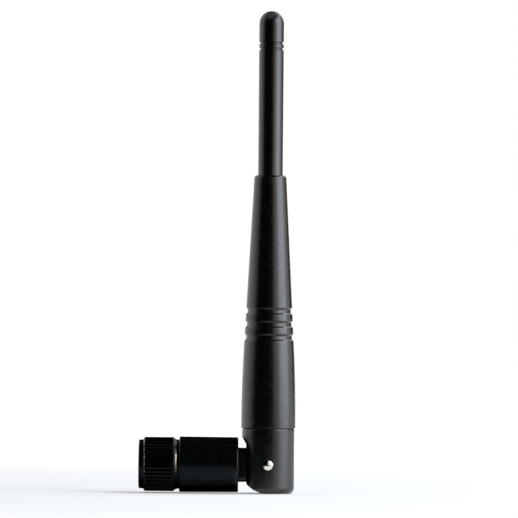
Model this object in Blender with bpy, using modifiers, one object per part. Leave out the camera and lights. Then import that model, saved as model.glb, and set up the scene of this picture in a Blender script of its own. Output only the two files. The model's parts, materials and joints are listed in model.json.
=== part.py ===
"""Tilt-and-swivel whip antenna for the 2.4 GHz band, with a round-nut coaxial plug, folded at its hinge.

Metres, +Z up. The mast stands along +Z and the plug lies along -X. The origin is under the middle of the
antenna, at the height of the mast's foot. Mast heights are measured up from the hinge pin, and plug
distances are measured along the plug's axis, also from the hinge pin.
"""
import math

import bmesh
import bpy
from mathutils import Matrix, Vector

# Mast cover: a thin rod on a tapered grip, moulded in one piece
MAST_HEIGHT = 0.1210
ROD_RADIUS = 0.00328
ROD_WALL = 0.00095
SHOULDER_HEIGHT = 0.0772
SHOULDER_RADIUS = 0.00424
SHOULDER_FILLET = 0.0009
GRIP_RADIUS = 0.00724
GRIP_CURVE_LENGTH = 0.0223
GRIP_WALL = 0.0022
TIP_WALL = 0.0042
FOOT_CHAMFER = 0.0002

# Three grip grooves and two tip grooves, each placed by the middle of its lowest groove
GRIP_GROOVE_COUNT = 3
GRIP_GROOVE_HEIGHT = 0.0340
GRIP_GROOVE_PITCH = 0.0035
GRIP_GROOVE_WIDTH = 0.0018
GRIP_GROOVE_DEPTH = 0.00042
TIP_GROOVE_COUNT = 2
TIP_GROOVE_DROP = 0.01015
TIP_GROOVE_PITCH = 0.00155
TIP_GROOVE_WIDTH = 0.0007
TIP_GROOVE_DEPTH = 0.0003

# Knuckle: the clevis at the mast's foot, with a spigot that the cover is pressed on
KNUCKLE_RADIUS = 0.0070
KNUCKLE_TOP = 0.0096
KNUCKLE_FOOT = 0.00765
KNUCKLE_TOP_CHAMFER = 0.00025
FOOT_FILLET = 0.0015
SPIGOT_LENGTH = 0.0056
SPIGOT_RADIUS = 0.0050
SPIGOT_CHAMFER = 0.0004
SLOT_MOUTH_ANGLE = math.radians(60)
SLOT_MOUTH_REACH = 0.00547
KNUCKLE_SPLIT = 0.0002

# Hinge
TONGUE_RADIUS = 0.00453
TONGUE_THICKNESS = 0.0074
TONGUE_BEVEL = 0.0006
TONGUE_CHANNEL = 0.0032
TONGUE_CLEARANCE = 0.00035
EAR_CLEARANCE = 0.0003
PIN_RADIUS = 0.0013
PIN_CLEARANCE = 0.0001
PIN_SINK = 0.00005
PIN_DOME = 0.00015

# Swivel barrel
BARREL_LENGTH = 0.01575
BARREL_HINGE_RADIUS = 0.00732
BARREL_PLUG_RADIUS = 0.00740
BARREL_FILLET = 0.00035
BARREL_END_WALL = 0.0020
BARREL_CHAMBER_CLEARANCE = 0.0005
SWING_GAP = 0.00025

# Coupling nut, with a standard 7/16-28 thread bore left plain
NUT_LENGTH = 0.01063
NUT_RADIUS = 0.00721
NUT_LIP_RADIUS = 0.00653
NUT_LIP_LENGTH = 0.00125
NUT_LIP_CHAMFER = 0.0003
NUT_FRONT_CHAMFER = 0.00045
NUT_REAR_CHAMFER = 0.00112
NUT_BORE_RADIUS = 0.00515
NUT_MOUTH_CHAMFER = 0.0006
NUT_RELIEF_DEPTH = 0.0004
NUT_RELIEF_LENGTH = 0.0018
NUT_GAP = 0.00022
KNURL_TEETH = 44
KNURL_DEPTH = 0.00035

# Plug body: one turned shell from the outer contact back to the crimp tail
CONTACT_TUBE_RADIUS = 0.0040
CONTACT_TUBE_WALL = 0.00065
CONTACT_TUBE_LENGTH = 0.0050
CONTACT_TUBE_RECESS = 0.0015
FINGER_SLOT_WIDTH = 0.0005
FINGER_SLOT_LENGTH = 0.0032
FLANGE_CLEARANCE = 0.00025
FLANGE_LENGTH = 0.0007
FLANGE_STEP = 0.0006
PLUG_NECK_INSET = 0.0005
STEM_RADIUS = 0.0030
CRIMP_TAIL_RADIUS = 0.00155
CRIMP_TAIL_LENGTH = 0.0036

# Inside the plug
INSULATOR_FLOOR = 0.0009
CONTACT_RADIUS = 0.00105
CONTACT_COLLAR_STEP = 0.00045
CONTACT_COLLAR_LENGTH = 0.0015
CONTACT_SOCKET_RADIUS = 0.00068
CONTACT_SOCKET_DEPTH = 0.0038
CONTACT_RECESS = 0.0014
CONTACT_TAIL_LENGTH = 0.0016
GASKET_THICKNESS = 0.0009
FERRULE_WALL = 0.00045
FERRULE_OVERHANG = 0.0012
FERRULE_END_ROOM = 0.00135

# Split rings
RING_THICKNESS = 0.0006
RING_BITE = 0.00045
RING_SPLIT = math.radians(28)
NUT_RING_SETBACK = 0.0016
SWIVEL_RING_LIP = 0.0007

# Cable, radiator and what centres them in the mast
COAX_RADIUS = 0.0009
BOOT_WALL = 0.00042
BOOT_LENGTH = 0.0090
DIPOLE_SLEEVE_LENGTH = 0.0270
DIPOLE_SLEEVE_RADIUS = 0.0020
DIPOLE_SLEEVE_WALL = 0.0003
FEED_BUSH_LENGTH = 0.0030
LOWER_SPACER_HEIGHT = 0.0300
LOWER_SPACER_LENGTH = 0.0060
SLEEVE_SPACER_LENGTH = 0.0030
WHIP_LENGTH = 0.0265
WHIP_END_ROOM = 0.0020
WHIP_RADIUS = 0.00035
WHIP_TUBE_WALL = 0.0004
TIP_SPACER_LENGTH = 0.0020

# Fits between pieces
RUNNING_CLEARANCE = 0.0002
SEAT_GAP = 0.00015
END_GAP = 0.0003
CABLE_CLEARANCE = 0.0004

# Facets round each kind of piece
COVER_STEPS = 36
HINGE_STEPS = 36
PLUG_STEPS = 24
SMALL_STEPS = 16
GRIP_CURVE_STEPS = 5
ARC_STEP = math.radians(15)
FILLET_STEP = math.radians(30)
STEP_SLACK = 0.001
CUT_OVERSHOOT = 0.001
MERGE_DISTANCE = 0.000001
SHARP_ANGLE = math.radians(35)

# Where the pieces meet, from the sizes above
BARREL_HINGE_FACE = KNUCKLE_FOOT + SWING_GAP
BARREL_PLUG_FACE = BARREL_HINGE_FACE + BARREL_LENGTH
NUT_REAR = BARREL_PLUG_FACE + NUT_GAP
NUT_FRONT = NUT_REAR + NUT_LENGTH
CONTACT_TUBE_FRONT = NUT_FRONT - CONTACT_TUBE_RECESS
FLANGE_FRONT = CONTACT_TUBE_FRONT - CONTACT_TUBE_LENGTH
FLANGE_REAR = FLANGE_FRONT - FLANGE_LENGTH
FLANGE_RADIUS = NUT_BORE_RADIUS - FLANGE_CLEARANCE
PLUG_NECK_RADIUS = FLANGE_RADIUS - FLANGE_STEP
PLUG_NECK_REAR = BARREL_PLUG_FACE - PLUG_NECK_INSET
BARREL_CHAMBER_END = BARREL_HINGE_FACE + BARREL_END_WALL
FERRULE_REAR = BARREL_CHAMBER_END + FERRULE_END_ROOM
CRIMP_TAIL_REAR = FERRULE_REAR + FERRULE_OVERHANG
STEM_REAR = CRIMP_TAIL_REAR + CRIMP_TAIL_LENGTH
INSULATOR_FRONT = CONTACT_TUBE_FRONT - FINGER_SLOT_LENGTH
INSULATOR_SEAT = PLUG_NECK_REAR + INSULATOR_FLOOR
INSULATOR_REAR = INSULATOR_SEAT + SEAT_GAP
SWIVEL_RING_RADIUS = STEM_RADIUS + RUNNING_CLEARANCE + SWIVEL_RING_LIP
BARREL_CHAMBER_RADIUS = SWIVEL_RING_RADIUS + BARREL_CHAMBER_CLEARANCE
CABLE_BORE_RADIUS = COAX_RADIUS + CABLE_CLEARANCE
TUBE_BORE_RADIUS = CONTACT_TUBE_RADIUS - CONTACT_TUBE_WALL
TAIL_BORE_RADIUS = COAX_RADIUS + SEAT_GAP
BOOT_BORE_RADIUS = COAX_RADIUS + SEAT_GAP
KNUCKLE_BORE_RADIUS = BOOT_BORE_RADIUS + BOOT_WALL + SEAT_GAP
NUT_RING_MIDDLE = NUT_REAR + NUT_RING_SETBACK
SWIVEL_RING_MIDDLE = STEM_REAR + 2 * RING_THICKNESS
RING_GROOVE_WIDTH = RING_THICKNESS + 2 * SEAT_GAP
COVER_FOOT = KNUCKLE_TOP + KNUCKLE_SPLIT
SPIGOT_TOP = KNUCKLE_TOP + SPIGOT_LENGTH
SLOT_ROOF = TONGUE_RADIUS + TONGUE_CLEARANCE
EAR_GAP = TONGUE_THICKNESS + 2 * EAR_CLEARANCE
COVER_SEAT = SPIGOT_TOP + END_GAP
ROD_BORE_RADIUS = ROD_RADIUS - ROD_WALL
ROD_BORE_TOP = MAST_HEIGHT - TIP_WALL
WHIP_TOP = ROD_BORE_TOP - WHIP_END_ROOM
WHIP_FOOT = WHIP_TOP - WHIP_LENGTH
FEED_HEIGHT = WHIP_FOOT - END_GAP
GRIP_SLOPE = (GRIP_RADIUS - SHOULDER_RADIUS) / (SHOULDER_HEIGHT - COVER_FOOT - GRIP_CURVE_LENGTH / 2)
TAPER_BORE_TOP = SHOULDER_HEIGHT - (SHOULDER_RADIUS - ROD_BORE_RADIUS)
ANTENNA_RADIUS = max(GRIP_RADIUS, KNUCKLE_RADIUS)
HINGE_POINT = Vector(((NUT_FRONT - ANTENNA_RADIUS) / 2, 0.0, KNUCKLE_FOOT))


def empty_scene():
    for old in list(bpy.data.objects):
        bpy.data.objects.remove(old, do_unlink=True)


def new_collection(name):
    collection = bpy.data.collections.new(name)
    bpy.context.scene.collection.children.link(collection)
    return collection


def plain_material(name, colour, roughness, metallic):
    material = bpy.data.materials.new(name)
    material.use_nodes = True
    shader = material.node_tree.nodes["Principled BSDF"]
    shader.inputs["Base Color"].default_value = (*colour, 1.0)
    shader.inputs["Roughness"].default_value = roughness
    shader.inputs["Metallic"].default_value = metallic
    return material


def add_frame(name, turn=0.0):
    """Empty on the hinge pin, which the pieces of one moving body hang from."""
    frame = bpy.data.objects.new(name, None)
    frame.empty_display_size = ANTENNA_RADIUS
    frame.location = HINGE_POINT
    frame.rotation_euler = (0.0, turn, 0.0)
    MODEL.objects.link(frame)
    return frame


def arc(middle, radius, start, end, step=ARC_STEP):
    """Points of an arc about middle, ends included, with no step longer than the one asked for."""
    count = math.ceil(abs(end - start) / step - STEP_SLACK)
    angles = [start + (end - start) * i / count for i in range(count + 1)]
    return [(middle[0] + radius * math.cos(a), middle[1] + radius * math.sin(a)) for a in angles]


def shade(mesh):
    mesh.shade_smooth()
    mesh.set_sharp_from_angle(angle=SHARP_ANGLE)


def place(obj, parent, material):
    obj.parent = parent
    if material is None:
        obj.hide_render = True
        obj.display_type = "WIRE"
        CUTTERS.objects.link(obj)
    else:
        obj.data.materials.append(material)
        MODEL.objects.link(obj)
    return obj


def mesh_of(shape):
    """The evaluated mesh of a curve or of an object with modifiers, welded."""
    bpy.context.scene.collection.objects.link(shape)
    graph = bpy.context.evaluated_depsgraph_get()
    mesh = bpy.data.meshes.new_from_object(shape.evaluated_get(graph))
    bm = bmesh.new()
    bm.from_mesh(mesh)
    bmesh.ops.remove_doubles(bm, verts=bm.verts, dist=MERGE_DISTANCE)
    bmesh.ops.recalc_face_normals(bm, faces=bm.faces)
    bm.to_mesh(mesh)
    bm.free()
    bpy.data.objects.remove(shape, do_unlink=True)
    return mesh


def turned(name, outline, steps, parent, material=None):
    """Turned piece from (radius, height) points that run down its outer side and back up its bore."""
    on_axis = outline[0][0] == 0.0
    edges = [(i, i + 1) for i in range(len(outline) - 1)]
    if not on_axis:
        edges.append((len(outline) - 1, 0))
    profile = bpy.data.meshes.new(name)
    profile.from_pydata([(radius, 0.0, height) for radius, height in outline], edges, [])
    shape = bpy.data.objects.new(name + "_profile", profile)
    screw = shape.modifiers.new("turn", "SCREW")
    screw.steps = steps
    screw.render_steps = steps
    screw.use_merge_vertices = True
    screw.merge_threshold = MERGE_DISTANCE
    mesh = mesh_of(shape)
    shade(mesh)
    return place(bpy.data.objects.new(name, mesh), parent, material)


def tube(name, inner, outer, low, high, steps, parent, material=None):
    """Plain ring or tube, with a slope where a radius is given as a pair for its low and high end."""
    inner_low, inner_high = inner if isinstance(inner, tuple) else (inner, inner)
    outer_low, outer_high = outer if isinstance(outer, tuple) else (outer, outer)
    outline = [(outer_high, high), (outer_low, low), (inner_low, low), (inner_high, high)]
    return turned(name, outline, steps, parent, material)


def plate(name, outline, thickness, parent, material=None):
    """Flat piece of the given thickness, with its outline in the parent's XZ plane."""
    curve = bpy.data.curves.new(name, "CURVE")
    curve.dimensions = "2D"
    curve.fill_mode = "BOTH"
    curve.extrude = thickness / 2
    spline = curve.splines.new("POLY")
    spline.points.add(len(outline) - 1)
    for point, (x, z) in zip(spline.points, outline):
        point.co = (x, z, 0.0, 1.0)
    spline.use_cyclic_u = True
    mesh = mesh_of(bpy.data.objects.new(name + "_outline", curve))
    mesh.transform(Matrix.Rotation(math.pi / 2, 4, "X"))
    shade(mesh)
    return place(bpy.data.objects.new(name, mesh), parent, material)


def combine(obj, other, operation):
    change = obj.modifiers.new(other.name, "BOOLEAN")
    change.operation = operation
    change.solver = "EXACT"
    change.object = other


def cross_hole(name, radius, length, parent):
    """Cutter for a hole along Y through the hinge."""
    hole = turned(name, [(0.0, length), (radius, length), (radius, -length), (0.0, -length)], SMALL_STEPS, parent)
    hole.rotation_euler = (math.pi / 2, 0.0, 0.0)
    return hole


def split_ring(name, inner, outer, middle, parent, material):
    """Flat C-shaped ring round the parent's Z axis, with its split at the side."""
    half = RING_SPLIT / 2
    outline = arc((0.0, 0.0), outer, half, 2 * math.pi - half)
    outline += arc((0.0, 0.0), inner, 2 * math.pi - half, half)
    ring = plate(name, outline, RING_THICKNESS, parent, material)
    ring.rotation_euler = (math.pi / 2, 0.0, 0.0)
    ring.location = (0.0, 0.0, middle)
    return ring


def cover_radius(height):
    """Outer radius of the grip: upright at its foot, a smooth curve, then a straight taper."""
    rise = height - COVER_FOOT
    if rise < GRIP_CURVE_LENGTH:
        return GRIP_RADIUS - GRIP_SLOPE * rise * rise / (2 * GRIP_CURVE_LENGTH)
    return GRIP_RADIUS - GRIP_SLOPE * (rise - GRIP_CURVE_LENGTH / 2)


def bore_radius(height):
    """Radius of the cone-shaped bore inside the grip."""
    share = (height - COVER_SEAT) / (TAPER_BORE_TOP - COVER_SEAT)
    foot_radius = GRIP_RADIUS - GRIP_WALL
    return foot_radius + (ROD_BORE_RADIUS - foot_radius) * min(share, 1.0)


def groove(middle, width, depth, radius_at):
    """Four points down a groove: its upper edge, its floor and its lower edge."""
    top = middle + width / 2
    bottom = middle - width / 2
    floor_top = middle + width / 4
    floor_bottom = middle - width / 4
    return [
        (radius_at(top), top),
        (radius_at(floor_top) - depth, floor_top),
        (radius_at(floor_bottom) - depth, floor_bottom),
        (radius_at(bottom), bottom),
    ]


def build_radome():
    """Mast cover: one moulding, open at its foot, where it is pressed over the knuckle's spigot."""
    dome_middle = MAST_HEIGHT - ROD_RADIUS
    outline = arc((0.0, dome_middle), ROD_RADIUS, math.pi / 2, 0.0)
    outline[0] = (0.0, MAST_HEIGHT)
    for i in range(TIP_GROOVE_COUNT):
        middle = MAST_HEIGHT - TIP_GROOVE_DROP + (TIP_GROOVE_COUNT - 1 - i) * TIP_GROOVE_PITCH
        outline += groove(middle, TIP_GROOVE_WIDTH, TIP_GROOVE_DEPTH, lambda height: ROD_RADIUS)
    outline.append((ROD_RADIUS, SHOULDER_HEIGHT))
    fillet = min(SHOULDER_FILLET, SHOULDER_RADIUS - ROD_RADIUS)
    outline += arc((SHOULDER_RADIUS - fillet, SHOULDER_HEIGHT - fillet), fillet, math.pi / 2, 0.0, FILLET_STEP)
    for i in range(GRIP_GROOVE_COUNT):
        middle = GRIP_GROOVE_HEIGHT + (GRIP_GROOVE_COUNT - 1 - i) * GRIP_GROOVE_PITCH
        outline += groove(middle, GRIP_GROOVE_WIDTH, GRIP_GROOVE_DEPTH, cover_radius)
    for i in range(GRIP_CURVE_STEPS):
        height = COVER_FOOT + GRIP_CURVE_LENGTH * (1 - i / GRIP_CURVE_STEPS)
        outline.append((cover_radius(height), height))
    outline.append((GRIP_RADIUS, COVER_FOOT + FOOT_CHAMFER))
    outline.append((GRIP_RADIUS - FOOT_CHAMFER, COVER_FOOT))
    spigot_bore = SPIGOT_RADIUS + SEAT_GAP
    outline += [
        (spigot_bore, COVER_FOOT),
        (spigot_bore, COVER_SEAT),
        (min(bore_radius(COVER_SEAT), spigot_bore), COVER_SEAT),
        (ROD_BORE_RADIUS, TAPER_BORE_TOP),
        (ROD_BORE_RADIUS, ROD_BORE_TOP - ROD_BORE_RADIUS / 2),
        (0.0, ROD_BORE_TOP),
    ]
    turned("radome", outline, COVER_STEPS, MAST, BLACK_PLASTIC)


def slot_outline():
    """Slot between the ears, open to the plug's side and downwards, closed at the back."""
    reach = 2 * KNUCKLE_RADIUS
    mouth_rise = (reach - SLOT_MOUTH_REACH) * math.tan(SLOT_MOUTH_ANGLE)
    outline = [(-reach, -reach), (-reach, SLOT_ROOF + mouth_rise), (-SLOT_MOUTH_REACH, SLOT_ROOF)]
    outline += arc((0.0, 0.0), SLOT_ROOF, math.pi / 2, 0.0)
    outline.append((SLOT_ROOF, -reach))
    return outline


def ear_corner_outline():
    """Waste outside the round corner of the ears, which swings past the barrel's face."""
    reach = 2 * KNUCKLE_FOOT
    outline = arc((0.0, 0.0), KNUCKLE_FOOT, 1.5 * math.pi, math.pi)
    outline += [(-reach, 0.0), (-reach, -reach), (0.0, -reach)]
    return outline


def build_knuckle():
    """Clevis: turned outside, with the slot, the round ear corner and the pin hole cut through it."""
    spigot_edge = SPIGOT_RADIUS - SPIGOT_CHAMFER
    outline = [
        (spigot_edge, SPIGOT_TOP),
        (SPIGOT_RADIUS, SPIGOT_TOP - SPIGOT_CHAMFER),
        (SPIGOT_RADIUS, KNUCKLE_TOP),
        (KNUCKLE_RADIUS - KNUCKLE_TOP_CHAMFER, KNUCKLE_TOP),
        (KNUCKLE_RADIUS, KNUCKLE_TOP - KNUCKLE_TOP_CHAMFER),
    ]
    fillet_middle = (KNUCKLE_RADIUS - FOOT_FILLET, FOOT_FILLET - KNUCKLE_FOOT)
    outline += arc(fillet_middle, FOOT_FILLET, 0.0, -math.pi / 2, FILLET_STEP)
    outline += [(KNUCKLE_BORE_RADIUS, -KNUCKLE_FOOT), (KNUCKLE_BORE_RADIUS, SPIGOT_TOP)]
    knuckle = turned("knuckle", outline, HINGE_STEPS, MAST, BLACK_PLASTIC)
    width = 4 * KNUCKLE_RADIUS
    combine(knuckle, plate("knuckle_slot", slot_outline(), EAR_GAP, MAST), "DIFFERENCE")
    combine(knuckle, plate("knuckle_corner", ear_corner_outline(), width, MAST), "DIFFERENCE")
    hole_radius = PIN_RADIUS + PIN_CLEARANCE
    combine(knuckle, cross_hole("knuckle_pin_hole", hole_radius, width, MAST), "DIFFERENCE")


def build_hinge_pins():
    """Two short pins, one in each ear, so that the cable can pass between them."""
    outer_end = KNUCKLE_RADIUS - PIN_SINK
    inner_end = TONGUE_CHANNEL / 2 + SEAT_GAP
    outline = [
        (0.0, outer_end),
        (PIN_RADIUS / 2, outer_end - PIN_DOME / 4),
        (PIN_RADIUS, outer_end - PIN_DOME),
        (PIN_RADIUS, inner_end),
        (0.0, inner_end),
    ]
    for name, side in (("hinge_pin_front", 1), ("hinge_pin_rear", -1)):
        pin = turned(name, outline, SMALL_STEPS, MAST, BRIGHT_STEEL)
        pin.rotation_euler = (side * math.pi / 2, 0.0, 0.0)


def tongue_outline():
    """Tongue with a round end about the hinge pin, running back into the barrel."""
    outline = arc((0.0, 0.0), TONGUE_RADIUS, -math.pi / 2, math.pi / 2)
    root = BARREL_HINGE_FACE + BARREL_END_WALL / 2
    outline += [(-root, TONGUE_RADIUS), (-root, -TONGUE_RADIUS)]
    return outline


def barrel_outline():
    """Barrel in section: up the stepped bore from its floor, then down the round-edged outside."""
    low, high = BARREL_HINGE_FACE, BARREL_PLUG_FACE
    stem_bore = STEM_RADIUS + RUNNING_CLEARANCE
    neck_bore = PLUG_NECK_RADIUS + RUNNING_CLEARANCE
    neck_floor = PLUG_NECK_REAR - SEAT_GAP
    shoulder = SWIVEL_RING_MIDDLE + RING_GROOVE_WIDTH / 2 + SEAT_GAP
    top_middle = (BARREL_PLUG_RADIUS - BARREL_FILLET, high - BARREL_FILLET)
    bottom_middle = (BARREL_HINGE_RADIUS - BARREL_FILLET, low + BARREL_FILLET)
    outline = [
        (0.0, BARREL_CHAMBER_END),
        (BARREL_CHAMBER_RADIUS, BARREL_CHAMBER_END),
        (BARREL_CHAMBER_RADIUS, shoulder),
        (stem_bore, shoulder),
        (stem_bore, neck_floor),
        (neck_bore, neck_floor),
        (neck_bore, high),
    ]
    outline += arc(top_middle, BARREL_FILLET, math.pi / 2, 0.0, FILLET_STEP)
    outline += arc(bottom_middle, BARREL_FILLET, 0.0, -math.pi / 2, FILLET_STEP)
    outline.append((0.0, low))
    return outline


def build_swivel_base():
    """Barrel and tongue in one moulding, hollow for the plug's stem and for the cable."""
    base = turned("swivel_base", barrel_outline(), HINGE_STEPS, SWIVEL, BLACK_PLASTIC)
    tongue = plate("tongue_blank", tongue_outline(), TONGUE_THICKNESS, UPRIGHT)
    rounding = tongue.modifiers.new("soft edges", "BEVEL")
    rounding.width = TONGUE_BEVEL
    rounding.segments = 2
    rounding.limit_method = "ANGLE"
    rounding.angle_limit = math.radians(60)
    half = TONGUE_CHANNEL / 2
    reach = 2 * TONGUE_RADIUS
    channel = [(-half, -half), (reach, -half), (reach, reach), (-half, reach)]
    combine(tongue, plate("tongue_channel", channel, TONGUE_CHANNEL, UPRIGHT), "DIFFERENCE")
    hole_radius = PIN_RADIUS + PIN_CLEARANCE
    combine(tongue, cross_hole("tongue_pin_hole", hole_radius, TONGUE_THICKNESS, UPRIGHT), "DIFFERENCE")
    combine(base, tongue, "UNION")
    bore_end = BARREL_CHAMBER_END + CUT_OVERSHOOT
    cable_bore = [(0.0, bore_end), (CABLE_BORE_RADIUS, bore_end), (CABLE_BORE_RADIUS, 0.0), (0.0, 0.0)]
    combine(base, turned("tongue_cable_bore", cable_bore, SMALL_STEPS, SWIVEL), "DIFFERENCE")


def build_coupling_nut():
    """Knurled nut with a plain lip in front, a chamfer behind and a groove for its retaining ring."""
    lip_rear = NUT_FRONT - NUT_LIP_LENGTH
    knurl_front = lip_rear - NUT_FRONT_CHAMFER
    knurl_rear = NUT_REAR + NUT_REAR_CHAMFER
    neck_bore = PLUG_NECK_RADIUS + RUNNING_CLEARANCE
    ring_bore = neck_bore + RING_BITE + SEAT_GAP
    ring_low = NUT_RING_MIDDLE - RING_GROOVE_WIDTH / 2
    ring_high = NUT_RING_MIDDLE + RING_GROOVE_WIDTH / 2
    relief_low = FLANGE_REAR - RUNNING_CLEARANCE
    relief_high = relief_low + NUT_RELIEF_LENGTH
    relief_radius = NUT_BORE_RADIUS + NUT_RELIEF_DEPTH
    outline = [
        (NUT_LIP_RADIUS - NUT_LIP_CHAMFER, NUT_FRONT),
        (NUT_LIP_RADIUS, NUT_FRONT - NUT_LIP_CHAMFER),
        (NUT_LIP_RADIUS, lip_rear),
        (NUT_RADIUS, knurl_front),
        (NUT_RADIUS, knurl_rear),
        (NUT_LIP_RADIUS, NUT_REAR),
        (neck_bore, NUT_REAR),
        (neck_bore, ring_low),
        (ring_bore, ring_low),
        (ring_bore, ring_high),
        (neck_bore, ring_high),
        (neck_bore, relief_low),
        (relief_radius, relief_low),
        (relief_radius, relief_high),
        (NUT_BORE_RADIUS, relief_high),
        (NUT_BORE_RADIUS, NUT_FRONT - NUT_MOUTH_CHAMFER),
        (NUT_BORE_RADIUS + NUT_MOUTH_CHAMFER, NUT_FRONT),
    ]
    nut = turned("coupling_nut", outline, 2 * KNURL_TEETH, NUT, BLACK_PLATING)
    root_share = (NUT_RADIUS - KNURL_DEPTH) / NUT_RADIUS
    crest_limit = NUT_RADIUS - KNURL_DEPTH / 2
    for vertex in nut.data.vertices:
        x, y, z = vertex.co
        column = round(math.atan2(y, x) / math.tau * 2 * KNURL_TEETH)
        if column % 2 and math.hypot(x, y) > crest_limit:
            vertex.co = (x * root_share, y * root_share, z)
    shade(nut.data)


def build_plug_body():
    """Connector shell: slotted outer contact, gasket flange, neck for the nut, swivel stem and crimp tail."""
    nut_ring_floor = PLUG_NECK_RADIUS - RING_BITE
    swivel_ring_floor = STEM_RADIUS - RING_BITE
    nut_low = NUT_RING_MIDDLE - RING_GROOVE_WIDTH / 2
    nut_high = NUT_RING_MIDDLE + RING_GROOVE_WIDTH / 2
    swivel_low = SWIVEL_RING_MIDDLE - RING_GROOVE_WIDTH / 2
    swivel_high = SWIVEL_RING_MIDDLE + RING_GROOVE_WIDTH / 2
    outline = [
        (CONTACT_TUBE_RADIUS, CONTACT_TUBE_FRONT),
        (CONTACT_TUBE_RADIUS, FLANGE_FRONT),
        (FLANGE_RADIUS, FLANGE_FRONT),
        (FLANGE_RADIUS, FLANGE_REAR),
        (PLUG_NECK_RADIUS, FLANGE_REAR),
        (PLUG_NECK_RADIUS, nut_high),
        (nut_ring_floor, nut_high),
        (nut_ring_floor, nut_low),
        (PLUG_NECK_RADIUS, nut_low),
        (PLUG_NECK_RADIUS, PLUG_NECK_REAR),
        (STEM_RADIUS, PLUG_NECK_REAR),
        (STEM_RADIUS, swivel_high),
        (swivel_ring_floor, swivel_high),
        (swivel_ring_floor, swivel_low),
        (STEM_RADIUS, swivel_low),
        (STEM_RADIUS, STEM_REAR),
        (CRIMP_TAIL_RADIUS, STEM_REAR),
        (CRIMP_TAIL_RADIUS, CRIMP_TAIL_REAR),
        (TAIL_BORE_RADIUS, CRIMP_TAIL_REAR),
        (TAIL_BORE_RADIUS, INSULATOR_SEAT),
        (TUBE_BORE_RADIUS, INSULATOR_SEAT),
        (TUBE_BORE_RADIUS, CONTACT_TUBE_FRONT),
    ]
    body = turned("plug_body", outline, PLUG_STEPS, PLUG, PLUG_PLATING)
    half = FINGER_SLOT_WIDTH / 2
    low, high = INSULATOR_FRONT, NUT_FRONT
    slot = [(-half, low), (half, low), (half, high), (-half, high)]
    for name, turn in (("finger_slot_upright", 0.0), ("finger_slot_level", math.pi / 2)):
        cutter = plate(name, slot, 3 * CONTACT_TUBE_RADIUS, PLUG)
        cutter.rotation_euler = (0.0, 0.0, turn + math.pi / 4)
        combine(body, cutter, "DIFFERENCE")


def build_plug_inside():
    """Insulator, centre contact, gasket, rings and ferrule."""
    contact_front = CONTACT_TUBE_FRONT - CONTACT_RECESS
    contact_rear = INSULATOR_REAR - CONTACT_TAIL_LENGTH
    collar_radius = CONTACT_RADIUS + CONTACT_COLLAR_STEP
    collar_low = INSULATOR_REAR + SEAT_GAP
    collar_high = collar_low + CONTACT_COLLAR_LENGTH
    collar_seat = collar_high + SEAT_GAP
    bush_radius = TUBE_BORE_RADIUS - SEAT_GAP
    outline = [
        (bush_radius, INSULATOR_FRONT),
        (bush_radius, INSULATOR_REAR),
        (collar_radius + SEAT_GAP, INSULATOR_REAR),
        (collar_radius + SEAT_GAP, collar_seat),
        (CONTACT_RADIUS + SEAT_GAP, collar_seat),
        (CONTACT_RADIUS + SEAT_GAP, INSULATOR_FRONT),
    ]
    turned("connector_insulator", outline, PLUG_STEPS, PLUG, WHITE_PLASTIC)
    socket_floor = contact_front - CONTACT_SOCKET_DEPTH
    pot_radius = TAIL_BORE_RADIUS - SEAT_GAP
    outline = [
        (CONTACT_SOCKET_RADIUS, contact_front),
        (CONTACT_RADIUS, contact_front),
        (CONTACT_RADIUS, collar_high),
        (collar_radius, collar_high),
        (collar_radius, collar_low),
        (pot_radius, collar_low),
        (pot_radius, contact_rear),
        (0.0, contact_rear),
    ]
    outline = [(0.0, socket_floor), (CONTACT_SOCKET_RADIUS, socket_floor)] + outline
    turned("centre_contact", outline, SMALL_STEPS, PLUG, GOLD_PLATING)
    gasket_low = FLANGE_FRONT + SEAT_GAP
    gasket_high = gasket_low + GASKET_THICKNESS
    gasket_inner = CONTACT_TUBE_RADIUS + SEAT_GAP
    tube("gasket", gasket_inner, FLANGE_RADIUS, gasket_low, gasket_high, PLUG_STEPS, PLUG, SEAL_RUBBER)
    nut_ring_inner = PLUG_NECK_RADIUS - RING_BITE + SEAT_GAP
    nut_ring_outer = PLUG_NECK_RADIUS + RUNNING_CLEARANCE + RING_BITE
    split_ring("retaining_ring", nut_ring_inner, nut_ring_outer, NUT_RING_MIDDLE, PLUG, SPRING_BRONZE)
    swivel_ring_inner = STEM_RADIUS - RING_BITE + SEAT_GAP
    split_ring("swivel_ring", swivel_ring_inner, SWIVEL_RING_RADIUS, SWIVEL_RING_MIDDLE, PLUG, SPRING_BRONZE)
    ferrule_bore = CRIMP_TAIL_RADIUS + SEAT_GAP
    ferrule_radius = ferrule_bore + FERRULE_WALL
    crimp_bore = COAX_RADIUS + SEAT_GAP
    crimp_radius = crimp_bore + FERRULE_WALL
    ferrule_high = STEM_REAR - SEAT_GAP
    ferrule_step = CRIMP_TAIL_REAR - SEAT_GAP
    outline = [
        (ferrule_radius, ferrule_high),
        (ferrule_radius, ferrule_step),
        (crimp_radius, FERRULE_REAR),
        (crimp_bore, FERRULE_REAR),
        (crimp_bore, ferrule_step),
        (ferrule_bore, ferrule_step),
        (ferrule_bore, ferrule_high),
    ]
    turned("crimp_ferrule", outline, SMALL_STEPS, PLUG, NICKEL_PLATING)
    coax_end = contact_rear - END_GAP
    outline = [(0.0, coax_end), (COAX_RADIUS, coax_end)]
    outline += arc((0.0, 0.0), COAX_RADIUS, 0.0, -math.pi / 2, FILLET_STEP)
    outline[-1] = (0.0, -COAX_RADIUS)
    turned("lead_coax", outline, SMALL_STEPS, PLUG, CABLE_JACKET)


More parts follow.
